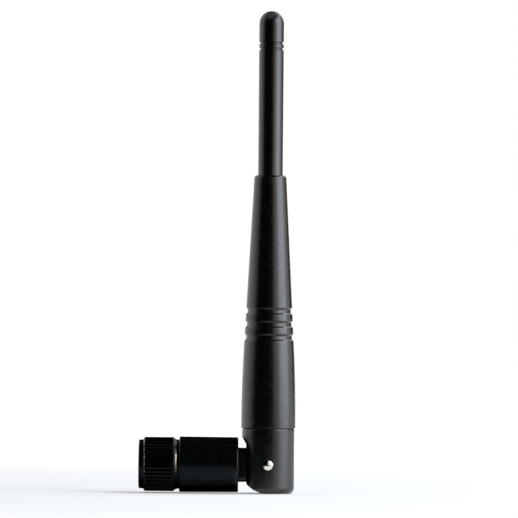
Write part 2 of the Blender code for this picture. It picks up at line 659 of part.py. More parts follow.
def build_mast_inside():
    """Cable, dipole sleeve and whip, with the spacers that hold them in the middle of the cover."""
    coax_low = COAX_RADIUS + END_GAP
    tube_bore = WHIP_RADIUS + SEAT_GAP
    outline = [(0.0, FEED_HEIGHT), (COAX_RADIUS, FEED_HEIGHT), (COAX_RADIUS, coax_low), (0.0, coax_low)]
    turned("mast_coax", outline, SMALL_STEPS, MAST, CABLE_JACKET)

    boot_low = SLOT_ROOF + END_GAP
    boot_radius = BOOT_BORE_RADIUS + BOOT_WALL
    boot_high = boot_low + BOOT_LENGTH
    tube("cable_boot", BOOT_BORE_RADIUS, boot_radius, boot_low, boot_high, SMALL_STEPS, MAST, SHRINK_TUBE)

    coax_bore = COAX_RADIUS + SEAT_GAP
    low, high = LOWER_SPACER_HEIGHT, LOWER_SPACER_HEIGHT + LOWER_SPACER_LENGTH
    rims = (bore_radius(low) - SEAT_GAP, bore_radius(high) - SEAT_GAP)
    tube("lower_spacer", coax_bore, rims, low, high, SMALL_STEPS, MAST, FOAM)

    sleeve_top = FEED_HEIGHT - END_GAP
    sleeve_low = sleeve_top - DIPOLE_SLEEVE_LENGTH
    sleeve_bore = DIPOLE_SLEEVE_RADIUS - DIPOLE_SLEEVE_WALL
    outline = [
        (DIPOLE_SLEEVE_RADIUS, sleeve_top),
        (DIPOLE_SLEEVE_RADIUS, sleeve_low),
        (sleeve_bore, sleeve_low),
        (sleeve_bore, sleeve_top - DIPOLE_SLEEVE_WALL),
        (coax_bore, sleeve_top - DIPOLE_SLEEVE_WALL),
        (coax_bore, sleeve_top),
    ]
    turned("dipole_sleeve", outline, SMALL_STEPS, MAST, RAW_BRASS)
    bush_low = sleeve_low + END_GAP
    bush_high = bush_low + FEED_BUSH_LENGTH
    bush_radius = sleeve_bore - SEAT_GAP
    tube("feed_insulator", coax_bore, bush_radius, bush_low, bush_high, SMALL_STEPS, MAST, WHITE_PLASTIC)

    high = sleeve_low - END_GAP
    low = high - SLEEVE_SPACER_LENGTH
    rims = (bore_radius(low) - SEAT_GAP, bore_radius(high) - SEAT_GAP)
    tube("sleeve_spacer", coax_bore, rims, low, high, SMALL_STEPS, MAST, FOAM)

    outline = [(0.0, WHIP_TOP), (WHIP_RADIUS, WHIP_TOP), (WHIP_RADIUS, WHIP_FOOT), (0.0, WHIP_FOOT)]
    turned("whip_wire", outline, SMALL_STEPS, MAST, COPPER)
    spacer_high = WHIP_TOP - END_GAP
    spacer_low = spacer_high - TIP_SPACER_LENGTH
    tube_low = WHIP_FOOT + END_GAP
    tube_high = spacer_low - END_GAP
    tube_radius = tube_bore + WHIP_TUBE_WALL
    tube("whip_tube", tube_bore, tube_radius, tube_low, tube_high, SMALL_STEPS, MAST, SHRINK_TUBE)
    rim = ROD_BORE_RADIUS - SEAT_GAP
    tube("tip_spacer", tube_bore, rim, spacer_low, spacer_high, SMALL_STEPS, MAST, FOAM)


empty_scene()
MODEL = new_collection("antenna")
CUTTERS = new_collection("cutters")

BLACK_PLASTIC = plain_material("black_plastic", (0.012, 0.012, 0.013), 0.42, 0.0)
BLACK_PLATING = plain_material("black_plating", (0.010, 0.010, 0.010), 0.30, 0.8)
BRIGHT_STEEL = plain_material("bright_steel", (0.80, 0.77, 0.70), 0.22, 1.0)
GOLD_PLATING = plain_material("gold_plating", (0.83, 0.60, 0.25), 0.25, 1.0)
NICKEL_PLATING = plain_material("nickel_plating", (0.62, 0.60, 0.56), 0.30, 1.0)
PLUG_PLATING = plain_material("plug_plating", (0.55, 0.53, 0.50), 0.32, 1.0)
SPRING_BRONZE = plain_material("spring_bronze", (0.55, 0.36, 0.18), 0.35, 1.0)
RAW_BRASS = plain_material("raw_brass", (0.72, 0.52, 0.22), 0.35, 1.0)
COPPER = plain_material("copper", (0.78, 0.40, 0.26), 0.30, 1.0)
WHITE_PLASTIC = plain_material("white_plastic", (0.80, 0.80, 0.78), 0.45, 0.0)
SEAL_RUBBER = plain_material("seal_rubber", (0.42, 0.10, 0.06), 0.60, 0.0)
CABLE_JACKET = plain_material("cable_jacket", (0.10, 0.07, 0.05), 0.40, 0.0)
SHRINK_TUBE = plain_material("shrink_tube", (0.015, 0.015, 0.015), 0.55, 0.0)
FOAM = plain_material("foam", (0.70, 0.70, 0.66), 0.90, 0.0)

MAST = add_frame("tilt_axis")
UPRIGHT = add_frame("swivel_frame")
SWIVEL = add_frame("swivel_axis", -math.pi / 2)
NUT = add_frame("nut_axis", -math.pi / 2)
PLUG = add_frame("plug_axis", -math.pi / 2)

build_radome()
build_knuckle()
build_hinge_pins()
build_swivel_base()
build_coupling_nut()
build_plug_body()
build_plug_inside()
build_mast_inside()
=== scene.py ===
"""Looks of a tilt-and-swivel whip antenna: mouldings, a knurled nut, its finishes, studio and camera.

Metres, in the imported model's frame. Mast heights are measured up from the hinge pin, and plug distances
are measured from the hinge pin along the plug's axis.
"""
import json
import math

import bmesh
import bpy
from mathutils import Matrix, Vector


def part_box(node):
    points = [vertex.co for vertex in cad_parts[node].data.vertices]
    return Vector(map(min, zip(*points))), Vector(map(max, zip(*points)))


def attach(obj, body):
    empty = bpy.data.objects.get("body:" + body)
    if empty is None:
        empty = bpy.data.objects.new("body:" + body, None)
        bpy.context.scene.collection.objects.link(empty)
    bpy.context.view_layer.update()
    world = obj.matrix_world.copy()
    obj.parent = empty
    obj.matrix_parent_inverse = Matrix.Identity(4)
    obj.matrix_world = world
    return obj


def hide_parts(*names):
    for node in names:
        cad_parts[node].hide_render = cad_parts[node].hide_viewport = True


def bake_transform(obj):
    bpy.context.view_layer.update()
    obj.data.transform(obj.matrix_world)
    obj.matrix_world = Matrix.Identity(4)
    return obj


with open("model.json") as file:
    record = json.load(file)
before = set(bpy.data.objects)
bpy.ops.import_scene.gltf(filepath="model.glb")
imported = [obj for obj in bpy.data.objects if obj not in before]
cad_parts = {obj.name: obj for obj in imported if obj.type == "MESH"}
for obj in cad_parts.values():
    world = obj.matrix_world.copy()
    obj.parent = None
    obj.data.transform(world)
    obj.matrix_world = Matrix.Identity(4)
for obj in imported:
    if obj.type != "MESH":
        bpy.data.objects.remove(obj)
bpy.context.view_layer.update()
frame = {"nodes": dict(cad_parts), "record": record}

# Mast cover: one injection moulding in black plastic, a tapered grip that runs into a thin rod with a
# domed tip. Its tool was spark-eroded, which leaves a fine matt grain. It is pressed over the knuckle's
# spigot, and three rings on the grip and two at the tip are moulded in.
JOINTS = {joint["name"]: joint for joint in frame["record"]["behaviour"]["joints"]}
HINGE = Vector(JOINTS["mast_tilt"]["pos_m"])
MAST_AXIS = Matrix.Translation(HINGE)
COVER_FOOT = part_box("radome")[0].z - HINGE.z
COVER_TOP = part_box("radome")[1].z - HINGE.z
GRIP_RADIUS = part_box("radome")[1].y
GRIP_CURVE_LENGTH = 0.0223
GRIP_CURVE_STEPS = 12
SHOULDER_HEIGHT = 0.0772
SHOULDER_RADIUS = 0.00424
SHOULDER_FILLET = 0.00085
ROD_RADIUS = 0.00328
ROD_BORE_RADIUS = 0.00233
ROD_BORE_TOP = COVER_TOP - 0.0042
GRIP_WALL = 0.0022
SPIGOT_BORE_RADIUS = 0.00515
SPIGOT_BORE_TOP = 0.0155
FOOT_FILLET = 0.00012
GRIP_SLOPE = (GRIP_RADIUS - SHOULDER_RADIUS) / (SHOULDER_HEIGHT - COVER_FOOT - GRIP_CURVE_LENGTH / 2)
GRIP_GROOVE_LOWEST = 0.0340
GRIP_GROOVE_SPACING = 0.0035
GRIP_GROOVES = [GRIP_GROOVE_LOWEST + GRIP_GROOVE_SPACING * i for i in (2, 1, 0)]
GRIP_GROOVE_WIDTH = 0.0018
GRIP_GROOVE_DEPTH = 0.00042
TIP_GROOVE_LOWEST = COVER_TOP - 0.01015
TIP_GROOVE_SPACING = 0.00155
TIP_GROOVES = [TIP_GROOVE_LOWEST + TIP_GROOVE_SPACING * i for i in (1, 0)]
TIP_GROOVE_WIDTH = 0.0007
TIP_GROOVE_DEPTH = 0.0003
GROOVE_INSET_SHARE = 0.24
GROOVE_FILLET_SHARE = 0.08
LARGE_ROUND_STEPS = 144
ARC_STEP = math.radians(15)
MERGE_DISTANCE = 0.000001
SHARP_ANGLE = math.radians(40)
PATCH_RANGE = (0.3, 0.7)


def arc(middle, radius, start, end):
    """Points of an arc about middle, ends included."""
    count = max(2, round(abs(end - start) / ARC_STEP))
    angles = [start + (end - start) * i / count for i in range(count + 1)]
    return [(middle[0] + radius * math.cos(a), middle[1] + radius * math.sin(a)) for a in angles]


def rounded(corners):
    """Outline through (radius, height, fillet) corners, with each fillet drawn as an arc."""
    points = []
    for i, (radius, height, fillet) in enumerate(corners):
        here = Vector((radius, height))
        if not fillet:
            points.append((radius, height))
            continue
        before = (Vector(corners[i - 1][:2]) - here).normalized()
        after = (Vector(corners[(i + 1) % len(corners)][:2]) - here).normalized()
        half = before.angle(after) / 2
        middle = here + (before + after).normalized() * (fillet / math.sin(half))
        start = here + before * (fillet / math.tan(half)) - middle
        sweep = -math.copysign(math.pi - 2 * half, before.cross(after))
        count = max(2, math.ceil(abs(sweep) / ARC_STEP))
        for k in range(count + 1):
            point = middle + Matrix.Rotation(sweep * k / count, 2) @ start
            points.append((point.x, point.y))
    return points


def new_mesh(name, bm):
    """Mesh from a bmesh, welded, with its faces pointing out."""
    bmesh.ops.remove_doubles(bm, verts=bm.verts, dist=MERGE_DISTANCE)
    bmesh.ops.dissolve_degenerate(bm, edges=bm.edges, dist=MERGE_DISTANCE)
    bmesh.ops.recalc_face_normals(bm, faces=bm.faces)
    mesh = bpy.data.meshes.new(name)
    bm.to_mesh(mesh)
    bm.free()
    return mesh


def turned(name, outline, steps=LARGE_ROUND_STEPS):
    """Mesh turned round Z from a closed outline of (radius, height) points."""
    bm = bmesh.new()
    ring = [bm.verts.new((radius, 0.0, height)) for radius, height in outline]
    edges = []
    for i, vert in enumerate(ring):
        if vert.co.x > 0.0 or ring[i - 1].co.x > 0.0:
            edges.append(bm.edges.new((ring[i - 1], vert)))
    bmesh.ops.spin(
        bm, geom=ring + edges, cent=(0, 0, 0), axis=(0, 0, 1),
        angle=math.tau, steps=steps, use_merge=True,
    )
    return new_mesh(name, bm)


def dressed(name, mesh, place, finish):
    """Object for a mesh, in its place and finish, shaded smooth between its sharp edges."""
    mesh.transform(place)
    mesh.shade_smooth()
    mesh.set_sharp_from_angle(angle=SHARP_ANGLE)
    mesh.materials.append(finish)
    piece = bpy.data.objects.new(name, mesh)
    bpy.context.scene.collection.objects.link(piece)
    return piece


def show(name, mesh, place, body, finish, nodes):
    """Rigid piece that rides on its body in place of the plain nodes."""
    piece = dressed(name, mesh, place, finish)
    soften = piece.modifiers.new("even shading", "WEIGHTED_NORMAL")
    soften.keep_sharp = True
    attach(piece, body)
    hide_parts(*nodes)


def effect_group(name, inputs, outputs):
    """Empty shader node group with the named number inputs and the named outputs."""
    group = bpy.data.node_groups.new(name, "ShaderNodeTree")
    for label, value in inputs.items():
        socket = group.interface.new_socket(name=label, in_out="INPUT", socket_type="NodeSocketFloat")
        socket.default_value = value
    for label in outputs:
        group.interface.new_socket(name=label, in_out="OUTPUT", socket_type="NodeSocketFloat")
    return group, group.nodes.new("NodeGroupInput"), group.nodes.new("NodeGroupOutput")


def feed(tree, socket, value):
    """Links a socket to another node's output, or sets it to a plain value."""
    if isinstance(value, bpy.types.NodeSocket):
        tree.links.new(value, socket)
    else:
        socket.default_value = value


def math_node(tree, operation, first, second):
    """Math node between two sockets, or between a socket and a number."""
    node = tree.nodes.new("ShaderNodeMath")
    node.operation = operation
    feed(tree, node.inputs[0], first)
    feed(tree, node.inputs[1], second)
    return node.outputs["Value"]


def own_place(tree):
    """Coordinates on the piece itself, in metres."""
    return tree.nodes.new("ShaderNodeTexCoord").outputs["Object"]


def noise_node(tree, vector, scale, detail):
    """Soft random pattern, with its scale as a number or a socket."""
    node = tree.nodes.new("ShaderNodeTexNoise")
    node.inputs["Detail"].default_value = detail
    feed(tree, node.inputs["Vector"], vector)
    feed(tree, node.inputs["Scale"], scale)
    return node.outputs["Fac"]


def cell_node(tree, vector, scale):
    """Pattern of random cells, each with its own colour and the distance from its middle."""
    node = tree.nodes.new("ShaderNodeTexVoronoi")
    feed(tree, node.inputs["Vector"], vector)
    feed(tree, node.inputs["Scale"], scale)
    return node


def range_node(tree, value, source, target, interpolation="LINEAR"):
    """Value moved from one range of numbers to another, and held between its ends."""
    node = tree.nodes.new("ShaderNodeMapRange")
    node.interpolation_type = interpolation
    for label, limit in zip(("From Min", "From Max", "To Min", "To Max"), source + target):
        node.inputs[label].default_value = limit
    feed(tree, node.inputs["Value"], value)
    return node.outputs["Result"]


def build_grain_group():
    """Spark grain of a moulding: fine pits for height, and broad soft patches for gloss and colour."""
    inputs = {"Grain Scale": 7000.0, "Patch Scale": 260.0, "Mottle": 0.0}
    group, entry, result = effect_group("moulded_grain", inputs, ("Height", "Patch"))
    where = own_place(group)
    fine = noise_node(group, where, entry.outputs["Grain Scale"], detail=3.0)
    pits = cell_node(group, where, entry.outputs["Grain Scale"])
    patch = noise_node(group, where, entry.outputs["Patch Scale"], detail=4.0)
    mottle = math_node(group, "MULTIPLY", patch, entry.outputs["Mottle"])
    grain = math_node(group, "ADD", fine, pits.outputs["Distance"])
    feed(group, result.inputs["Height"], math_node(group, "ADD", grain, mottle))
    feed(group, result.inputs["Patch"], patch)
    return group


def build_dust_group():
    """Sparse specks of pale dust: a few cells of a fine pattern, each with a small round speck."""
    inputs = {"Spacing Scale": 420.0, "Share": 0.02, "Size": 0.055}
    group, entry, result = effect_group("dust_specks", inputs, ("Mask",))
    cells = cell_node(group, own_place(group), entry.outputs["Spacing Scale"])
    lottery = group.nodes.new("ShaderNodeSeparateColor")
    feed(group, lottery.inputs["Color"], cells.outputs["Color"])
    chosen = math_node(group, "LESS_THAN", lottery.outputs["Red"], entry.outputs["Share"])
    speck = math_node(group, "LESS_THAN", cells.outputs["Distance"], entry.outputs["Size"])
    feed(group, result.inputs["Mask"], math_node(group, "MULTIPLY", chosen, speck))
    return group


def mix_colours(tree, mask, first, second):
    """Colour that runs from the first to the second with the mask."""
    node = tree.nodes.new("ShaderNodeMix")
    node.data_type = "RGBA"
    feed(tree, node.inputs["Factor"], mask)
    feed(tree, node.inputs["A"], first)
    feed(tree, node.inputs["B"], second)
    return node.outputs["Result"]


def new_finish(name, effect, values, colours, roughness, depth, metallic=0.0, dust=None, specular=0.5):
    """Material whose effect group drives its colour, its gloss between two values, and its relief."""
    material = bpy.data.materials.new(name)
    material.use_nodes = True
    tree = material.node_tree
    shader = tree.nodes["Principled BSDF"]
    shader.inputs["Metallic"].default_value = metallic
    shader.inputs["Specular IOR Level"].default_value = specular
    texture = tree.nodes.new("ShaderNodeGroup")
    texture.node_tree = effect
    for label, value in values.items():
        texture.inputs[label].default_value = value
    patch = texture.outputs["Patch"]
    feed(tree, shader.inputs["Roughness"], range_node(tree, patch, PATCH_RANGE, roughness))
    colour = mix_colours(tree, patch, (*colours[0], 1.0), (*colours[1], 1.0))
    if dust:
        specks = tree.nodes.new("ShaderNodeGroup")
        specks.node_tree = DUST
        specks.inputs["Share"].default_value = dust
        colour = mix_colours(tree, specks.outputs["Mask"], colour, DUST_COLOUR)
    feed(tree, shader.inputs["Base Color"], colour)
    relief = tree.nodes.new("ShaderNodeBump")
    relief.inputs["Distance"].default_value = depth
    feed(tree, relief.inputs["Height"], texture.outputs["Height"])
    feed(tree, shader.inputs["Normal"], relief.outputs["Normal"])
    return material


def cover_radius(height):
    """Outer radius of the grip: upright at its foot, a smooth curve, then a straight taper."""
    rise = height - COVER_FOOT
    if rise < GRIP_CURVE_LENGTH:
        return GRIP_RADIUS - GRIP_SLOPE * rise * rise / (2 * GRIP_CURVE_LENGTH)
    return GRIP_RADIUS - GRIP_SLOPE * (rise - GRIP_CURVE_LENGTH / 2)


def groove(middle, width, depth, radius_at):
    """Corners down a groove: a steep upper wall, a flat floor and a lower wall, all softly rounded."""
    top = middle + width / 2
    bottom = middle - width / 2
    inset = width * GROOVE_INSET_SHARE
    fillet = width * GROOVE_FILLET_SHARE
    return [
        (radius_at(top), top, fillet),
        (radius_at(top - inset) - depth, top - inset, fillet),
        (radius_at(bottom + inset) - depth, bottom + inset, fillet),
        (radius_at(bottom), bottom, fillet),
    ]


GRAIN = build_grain_group()
DUST = build_dust_group()
DUST_COLOUR = (0.22, 0.22, 0.21, 1.0)
BLACK_PLASTIC = new_finish(
    "black_moulding", GRAIN, {"Grain Scale": 6500.0, "Patch Scale": 800.0, "Mottle": 3.2},
    colours=((0.0008, 0.0009, 0.0011), (0.0016, 0.0018, 0.0021)),
    roughness=(0.23, 0.31), depth=0.000005, dust=0.03, specular=0.8,
)

tip_dome = arc((0.0, COVER_TOP - ROD_RADIUS), ROD_RADIUS, math.pi / 2, 0.0)
corners = [(0.0, COVER_TOP, 0.0)]
corners += [(radius, height, 0.0) for radius, height in tip_dome[1:]]
for middle in TIP_GROOVES:
    corners += groove(middle, TIP_GROOVE_WIDTH, TIP_GROOVE_DEPTH, lambda height: ROD_RADIUS)
corners.append((ROD_RADIUS, SHOULDER_HEIGHT, 0.0))
corners.append((SHOULDER_RADIUS, SHOULDER_HEIGHT, SHOULDER_FILLET))
for middle in GRIP_GROOVES:
    corners += groove(middle, GRIP_GROOVE_WIDTH, GRIP_GROOVE_DEPTH, cover_radius)
for i in range(GRIP_CURVE_STEPS):
    height = COVER_FOOT + GRIP_CURVE_LENGTH * (1 - i / GRIP_CURVE_STEPS)
    corners.append((cover_radius(height), height, 0.0))
corners += [
    (GRIP_RADIUS, COVER_FOOT, FOOT_FILLET),
    (SPIGOT_BORE_RADIUS, COVER_FOOT, 0.0),
    (SPIGOT_BORE_RADIUS, SPIGOT_BORE_TOP, 0.0),
    (GRIP_RADIUS - GRIP_WALL, SPIGOT_BORE_TOP, 0.0),
    (ROD_BORE_RADIUS, SHOULDER_HEIGHT - (SHOULDER_RADIUS - ROD_BORE_RADIUS), 0.0),
    (ROD_BORE_RADIUS, ROD_BORE_TOP - ROD_BORE_RADIUS / 2, 0.0),
    (0.0, ROD_BORE_TOP, 0.0),
]
cover = turned("mast_cover", rounded(corners))
show("mast_cover", cover, MAST_AXIS, "mast", BLACK_PLASTIC, ["radome"])

# Knuckle: the clevis at the mast's foot, moulded in the same black plastic. It is round outside, with a
# slot for the tongue, a round corner that swings past the barrel, and a spigot inside the cover.
KNUCKLE_RADIUS = 0.0070
KNUCKLE_FOOT = HINGE.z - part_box("knuckle")[0].z
SPIGOT_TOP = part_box("knuckle")[1].z - HINGE.z
SEAM_GAP = 0.00007
KNUCKLE_TOP = COVER_FOOT - SEAM_GAP
KNUCKLE_TOP_CHAMFER_WIDTH = 0.00016
KNUCKLE_TOP_CHAMFER_HEIGHT = 0.00042
KNUCKLE_SOFT_EDGE = 0.00005
KNUCKLE_FOOT_FILLET = 0.0015
SPIGOT_RADIUS = 0.0050
SPIGOT_CHAMFER = 0.0004
KNUCKLE_BORE_RADIUS = 0.00162
EAR_GAP = 0.0080
TONGUE_RADIUS = 0.00453
TONGUE_CLEARANCE = 0.00035
SLOT_ROOF = TONGUE_RADIUS + TONGUE_CLEARANCE
SLOT_MOUTH_REACH = 0.00547
SLOT_MOUTH_ANGLE = math.radians(60)
PIN_RADIUS = 0.0013
PIN_HOLE_RADIUS = PIN_RADIUS + 0.0001
CUT_REACH = 2 * KNUCKLE_RADIUS
CROSS_ROD_STEPS = 64
MOULDED_EDGE = 0.00011
EDGE_SEGMENTS = 3
EDGE_LEAST_ANGLE = math.radians(32)


def slab(name, outline, thickness):
    """Flat block with its outline in the XZ plane, centred on Y."""
    bm = bmesh.new()
    face = bm.faces.new([bm.verts.new((x, -thickness / 2, z)) for x, z in outline])
    extruded = bmesh.ops.extrude_face_region(bm, geom=[face])["geom"]
    moved = [item for item in extruded if isinstance(item, bmesh.types.BMVert)]
    bmesh.ops.translate(bm, verts=moved, vec=(0.0, thickness, 0.0))
    return new_mesh(name, bm)


def cross_rod(name, radius, length):
    """Round bar along Y through the hinge."""
    half = length / 2
    mesh = turned(name, [(0.0, half), (radius, half), (radius, -half), (0.0, -half)], CROSS_ROD_STEPS)
    mesh.transform(Matrix.Rotation(math.pi / 2, 4, "X"))
    return mesh


def applied(helpers):
    """Mesh of the first helper object as its modifiers leave it. The helpers are then removed."""
    for helper in helpers:
        bpy.context.scene.collection.objects.link(helper)
    graph = bpy.context.evaluated_depsgraph_get()
    result = bpy.data.meshes.new_from_object(helpers[0].evaluated_get(graph))
    for helper in helpers:
        bpy.data.objects.remove(helper, do_unlink=True)
    return result


def carved(mesh, steps, edge):
    """Mesh after a list of (operation, tool mesh) steps, with its new sharp edges rounded."""
    blank = bpy.data.objects.new("blank", mesh)
    helpers = [blank]
    for operation, tool in steps:
        helpers.append(bpy.data.objects.new("tool", tool))
        change = blank.modifiers.new(operation, "BOOLEAN")
        change.operation = operation
        change.solver = "EXACT"
        change.object = helpers[-1]
    soft = blank.modifiers.new("soft edges", "BEVEL")
    soft.width = edge
    soft.segments = EDGE_SEGMENTS
    soft.limit_method = "ANGLE"
    soft.angle_limit = EDGE_LEAST_ANGLE
    soft.use_clamp_overlap = False
    return applied(helpers)


blank = turned("knuckle_blank", rounded([
    (SPIGOT_RADIUS - SPIGOT_CHAMFER, SPIGOT_TOP, 0.0),
    (SPIGOT_RADIUS, SPIGOT_TOP - SPIGOT_CHAMFER, 0.0),
    (SPIGOT_RADIUS, KNUCKLE_TOP, 0.0),
    (KNUCKLE_RADIUS - KNUCKLE_TOP_CHAMFER_WIDTH, KNUCKLE_TOP, KNUCKLE_SOFT_EDGE),
    (KNUCKLE_RADIUS, KNUCKLE_TOP - KNUCKLE_TOP_CHAMFER_HEIGHT, KNUCKLE_SOFT_EDGE),
    (KNUCKLE_RADIUS, -KNUCKLE_FOOT, KNUCKLE_FOOT_FILLET),
    (KNUCKLE_BORE_RADIUS, -KNUCKLE_FOOT, 0.0),
    (KNUCKLE_BORE_RADIUS, SPIGOT_TOP, 0.0),
]))
mouth_top = SLOT_ROOF + (CUT_REACH - SLOT_MOUTH_REACH) * math.tan(SLOT_MOUTH_ANGLE)
slot = [(-CUT_REACH, -CUT_REACH), (-CUT_REACH, mouth_top), (-SLOT_MOUTH_REACH, SLOT_ROOF)]
slot += arc((0.0, 0.0), SLOT_ROOF, math.pi / 2, 0.0) + [(SLOT_ROOF, -CUT_REACH)]
ear_corner = arc((0.0, 0.0), KNUCKLE_FOOT, 1.5 * math.pi, math.pi)
ear_corner += [(-CUT_REACH, 0.0), (-CUT_REACH, -CUT_REACH), (0.0, -CUT_REACH)]
knuckle = carved(blank, [
    ("DIFFERENCE", slab("slot", slot, EAR_GAP)),
    ("DIFFERENCE", slab("ear_corner", ear_corner, 2 * CUT_REACH)),
    ("DIFFERENCE", cross_rod("pin_hole", PIN_HOLE_RADIUS, 2 * CUT_REACH)),
], MOULDED_EDGE)
show("hinge_clevis", knuckle, MAST_AXIS, "mast", BLACK_PLASTIC, ["knuckle"])

# Hinge pins: two short bright steel pins, pressed into the ears from each side, so that the cable can
# pass between them. Their domed ends are turned and lightly polished.
PIN_TIP = 0.0073
PIN_INNER_END = -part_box("hinge_pin_front")[1].y
PIN_DOME = 0.00025
PIN_DOME_STEPS = 8
PIN_END_SKEW = math.radians(10)
SMALL_ROUND_STEPS = 96


def vector_node(tree, operation, *vectors):
    """Result of a Vector Math node on one or two vectors, each a socket or three numbers."""
    node = tree.nodes.new("ShaderNodeVectorMath")
    node.operation = operation
    for socket, vector in zip(node.inputs, vectors):
        feed(tree, socket, vector)
    return node.outputs["Value" if operation in ("LENGTH", "DOT_PRODUCT") else "Vector"]


def build_turning_group():
    """Fine rings that a lathe leaves about an axis through the hinge, on round faces and flat ends."""
    inputs = {"Axis X": 0.0, "Axis Y": 1.0, "Mark Scale": 9000.0}
    group, entry, result = effect_group("turning_marks", inputs, ("Height", "Patch"))
    where = own_place(group)
    centred = vector_node(group, "SUBTRACT", where, HINGE)
    axis = group.nodes.new("ShaderNodeCombineXYZ")
    feed(group, axis.inputs["X"], entry.outputs["Axis X"])
    feed(group, axis.inputs["Y"], entry.outputs["Axis Y"])
    along = vector_node(group, "DOT_PRODUCT", centred, axis.outputs["Vector"])
    across = vector_node(group, "CROSS_PRODUCT", centred, axis.outputs["Vector"])
    distance = math_node(group, "ADD", along, vector_node(group, "LENGTH", across))
    marks = group.nodes.new("ShaderNodeTexNoise")
    marks.noise_dimensions = "1D"
    marks.inputs["Scale"].default_value = 1.0
    marks.inputs["Detail"].default_value = 2.0
    feed(group, marks.inputs["W"], math_node(group, "MULTIPLY", distance, entry.outputs["Mark Scale"]))
    feed(group, result.inputs["Height"], marks.outputs["Fac"])
    feed(group, result.inputs["Patch"], noise_node(group, where, scale=600.0, detail=3.0))
    return group


TURNING = build_turning_group()
BRIGHT_STEEL = new_finish(
    "bright_pin_steel", TURNING, {"Axis X": 0.0, "Axis Y": 1.0, "Mark Scale": 12000.0},
    colours=((0.88, 0.82, 0.71), (0.80, 0.74, 0.64)),
    roughness=(0.12, 0.20), depth=0.0000006, metallic=1.0,
)
dome_radius = (PIN_RADIUS ** 2 + PIN_DOME ** 2) / (2 * PIN_DOME)
dome_angle = math.asin(PIN_RADIUS / dome_radius)
angles = [dome_angle * i / PIN_DOME_STEPS for i in range(PIN_DOME_STEPS + 1)]
outline = [(dome_radius * math.sin(a), PIN_TIP - dome_radius * (1 - math.cos(a))) for a in angles]
outline += [(PIN_RADIUS, PIN_INNER_END), (0.0, PIN_INNER_END)]
for side, turn in (("front", 1), ("rear", -1)):
    pin = turned("pin", outline, SMALL_ROUND_STEPS)
    for vertex in pin.vertices:
        if vertex.co.z > PIN_INNER_END + MERGE_DISTANCE:
            vertex.co.z -= vertex.co.x * math.tan(PIN_END_SKEW)
    place = MAST_AXIS @ Matrix.Rotation(turn * math.pi / 2, 4, "X")
    show("pin_" + side, pin, place, "mast", BRIGHT_STEEL, ["hinge_pin_" + side])

# Swivel base: a round barrel and the hinge's tongue in one black moulding. It turns on the connector's
# stem, and the cable runs through its middle. Its ends have small round edges that catch the light.
PLUG_AXIS = MAST_AXIS @ Matrix.Rotation(-math.pi / 2, 4, "Y")
BARREL_PLUG_FACE = HINGE.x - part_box("swivel_base")[0].x
BARREL_HINGE_FACE = KNUCKLE_FOOT + 0.00025
BARREL_HINGE_RADIUS = 0.00732
BARREL_PLUG_RADIUS = 0.00740
BARREL_FILLET = 0.00038
BARREL_CHAMBER_RADIUS = 0.0044
BARREL_CHAMBER_END = BARREL_HINGE_FACE + 0.0020
BARREL_SHOULDER = 0.01785
STEM_BORE_RADIUS = 0.0032
NECK_BORE_RADIUS = 0.0045
NECK_FILLET = 0.00015
NECK_FLOOR = BARREL_PLUG_FACE - 0.00065
TONGUE_ROOT = BARREL_HINGE_FACE + 0.0010
TONGUE_THICKNESS = 0.0074
TONGUE_EDGE = 0.0011
TONGUE_EDGE_STEPS = 4
TONGUE_CHANNEL = 0.0032
CABLE_BORE_RADIUS = 0.0013
CABLE_BORE_LENGTH = 0.011

BARREL_PLASTIC = new_finish(
    "barrel_moulding", GRAIN, {"Grain Scale": 7500.0, "Patch Scale": 900.0, "Mottle": 3.0},
    colours=((0.0005, 0.0006, 0.0008), (0.0010, 0.0011, 0.0013)),
    roughness=(0.20, 0.28), depth=0.000004, dust=0.008, specular=0.4,
)


def curve_mesh(curve, points, closed):
    """Welded mesh of a thick curve through the points."""
    spline = curve.splines.new("POLY")
    spline.points.add(len(points) - 1)
    for point, place in zip(spline.points, points):
        point.co = (*place, 1.0)
    spline.use_cyclic_u = closed
    bm = bmesh.new()
    bm.from_mesh(applied([bpy.data.objects.new(curve.name, curve)]))
    return new_mesh(curve.name, bm)


def tongue_blank():
    """Tongue with a round end about the pin and long soft edges, running back into the barrel."""
    inner = TONGUE_RADIUS - TONGUE_EDGE
    curve = bpy.data.curves.new("tongue", "CURVE")
    curve.dimensions = "2D"
    curve.fill_mode = "BOTH"
    curve.extrude = TONGUE_THICKNESS / 2 - TONGUE_EDGE
    curve.bevel_depth = TONGUE_EDGE
    curve.bevel_resolution = TONGUE_EDGE_STEPS
    outline = arc((0.0, 0.0), inner, -math.pi / 2, math.pi / 2)
    outline += [(-TONGUE_ROOT, inner), (-TONGUE_ROOT, -inner)]
    mesh = curve_mesh(curve, [(x, z, 0.0) for x, z in outline], closed=True)
    mesh.transform(Matrix.Rotation(math.pi / 2, 4, "X"))
    return mesh


barrel = turned("barrel", rounded([
    (0.0, BARREL_CHAMBER_END, 0.0),
    (BARREL_CHAMBER_RADIUS, BARREL_CHAMBER_END, 0.0),
    (BARREL_CHAMBER_RADIUS, BARREL_SHOULDER, 0.0),
    (STEM_BORE_RADIUS, BARREL_SHOULDER, 0.0),
    (STEM_BORE_RADIUS, NECK_FLOOR, 0.0),
    (NECK_BORE_RADIUS, NECK_FLOOR, 0.0),
    (NECK_BORE_RADIUS, BARREL_PLUG_FACE, NECK_FILLET),
    (BARREL_PLUG_RADIUS, BARREL_PLUG_FACE, BARREL_FILLET),
    (BARREL_HINGE_RADIUS, BARREL_HINGE_FACE, BARREL_FILLET),
    (0.0, BARREL_HINGE_FACE, 0.0),
]))
barrel.transform(Matrix.Rotation(-math.pi / 2, 4, "Y"))
half = TONGUE_CHANNEL / 2
channel = [(-half, -half), (CUT_REACH, -half), (CUT_REACH, CUT_REACH), (-half, CUT_REACH)]
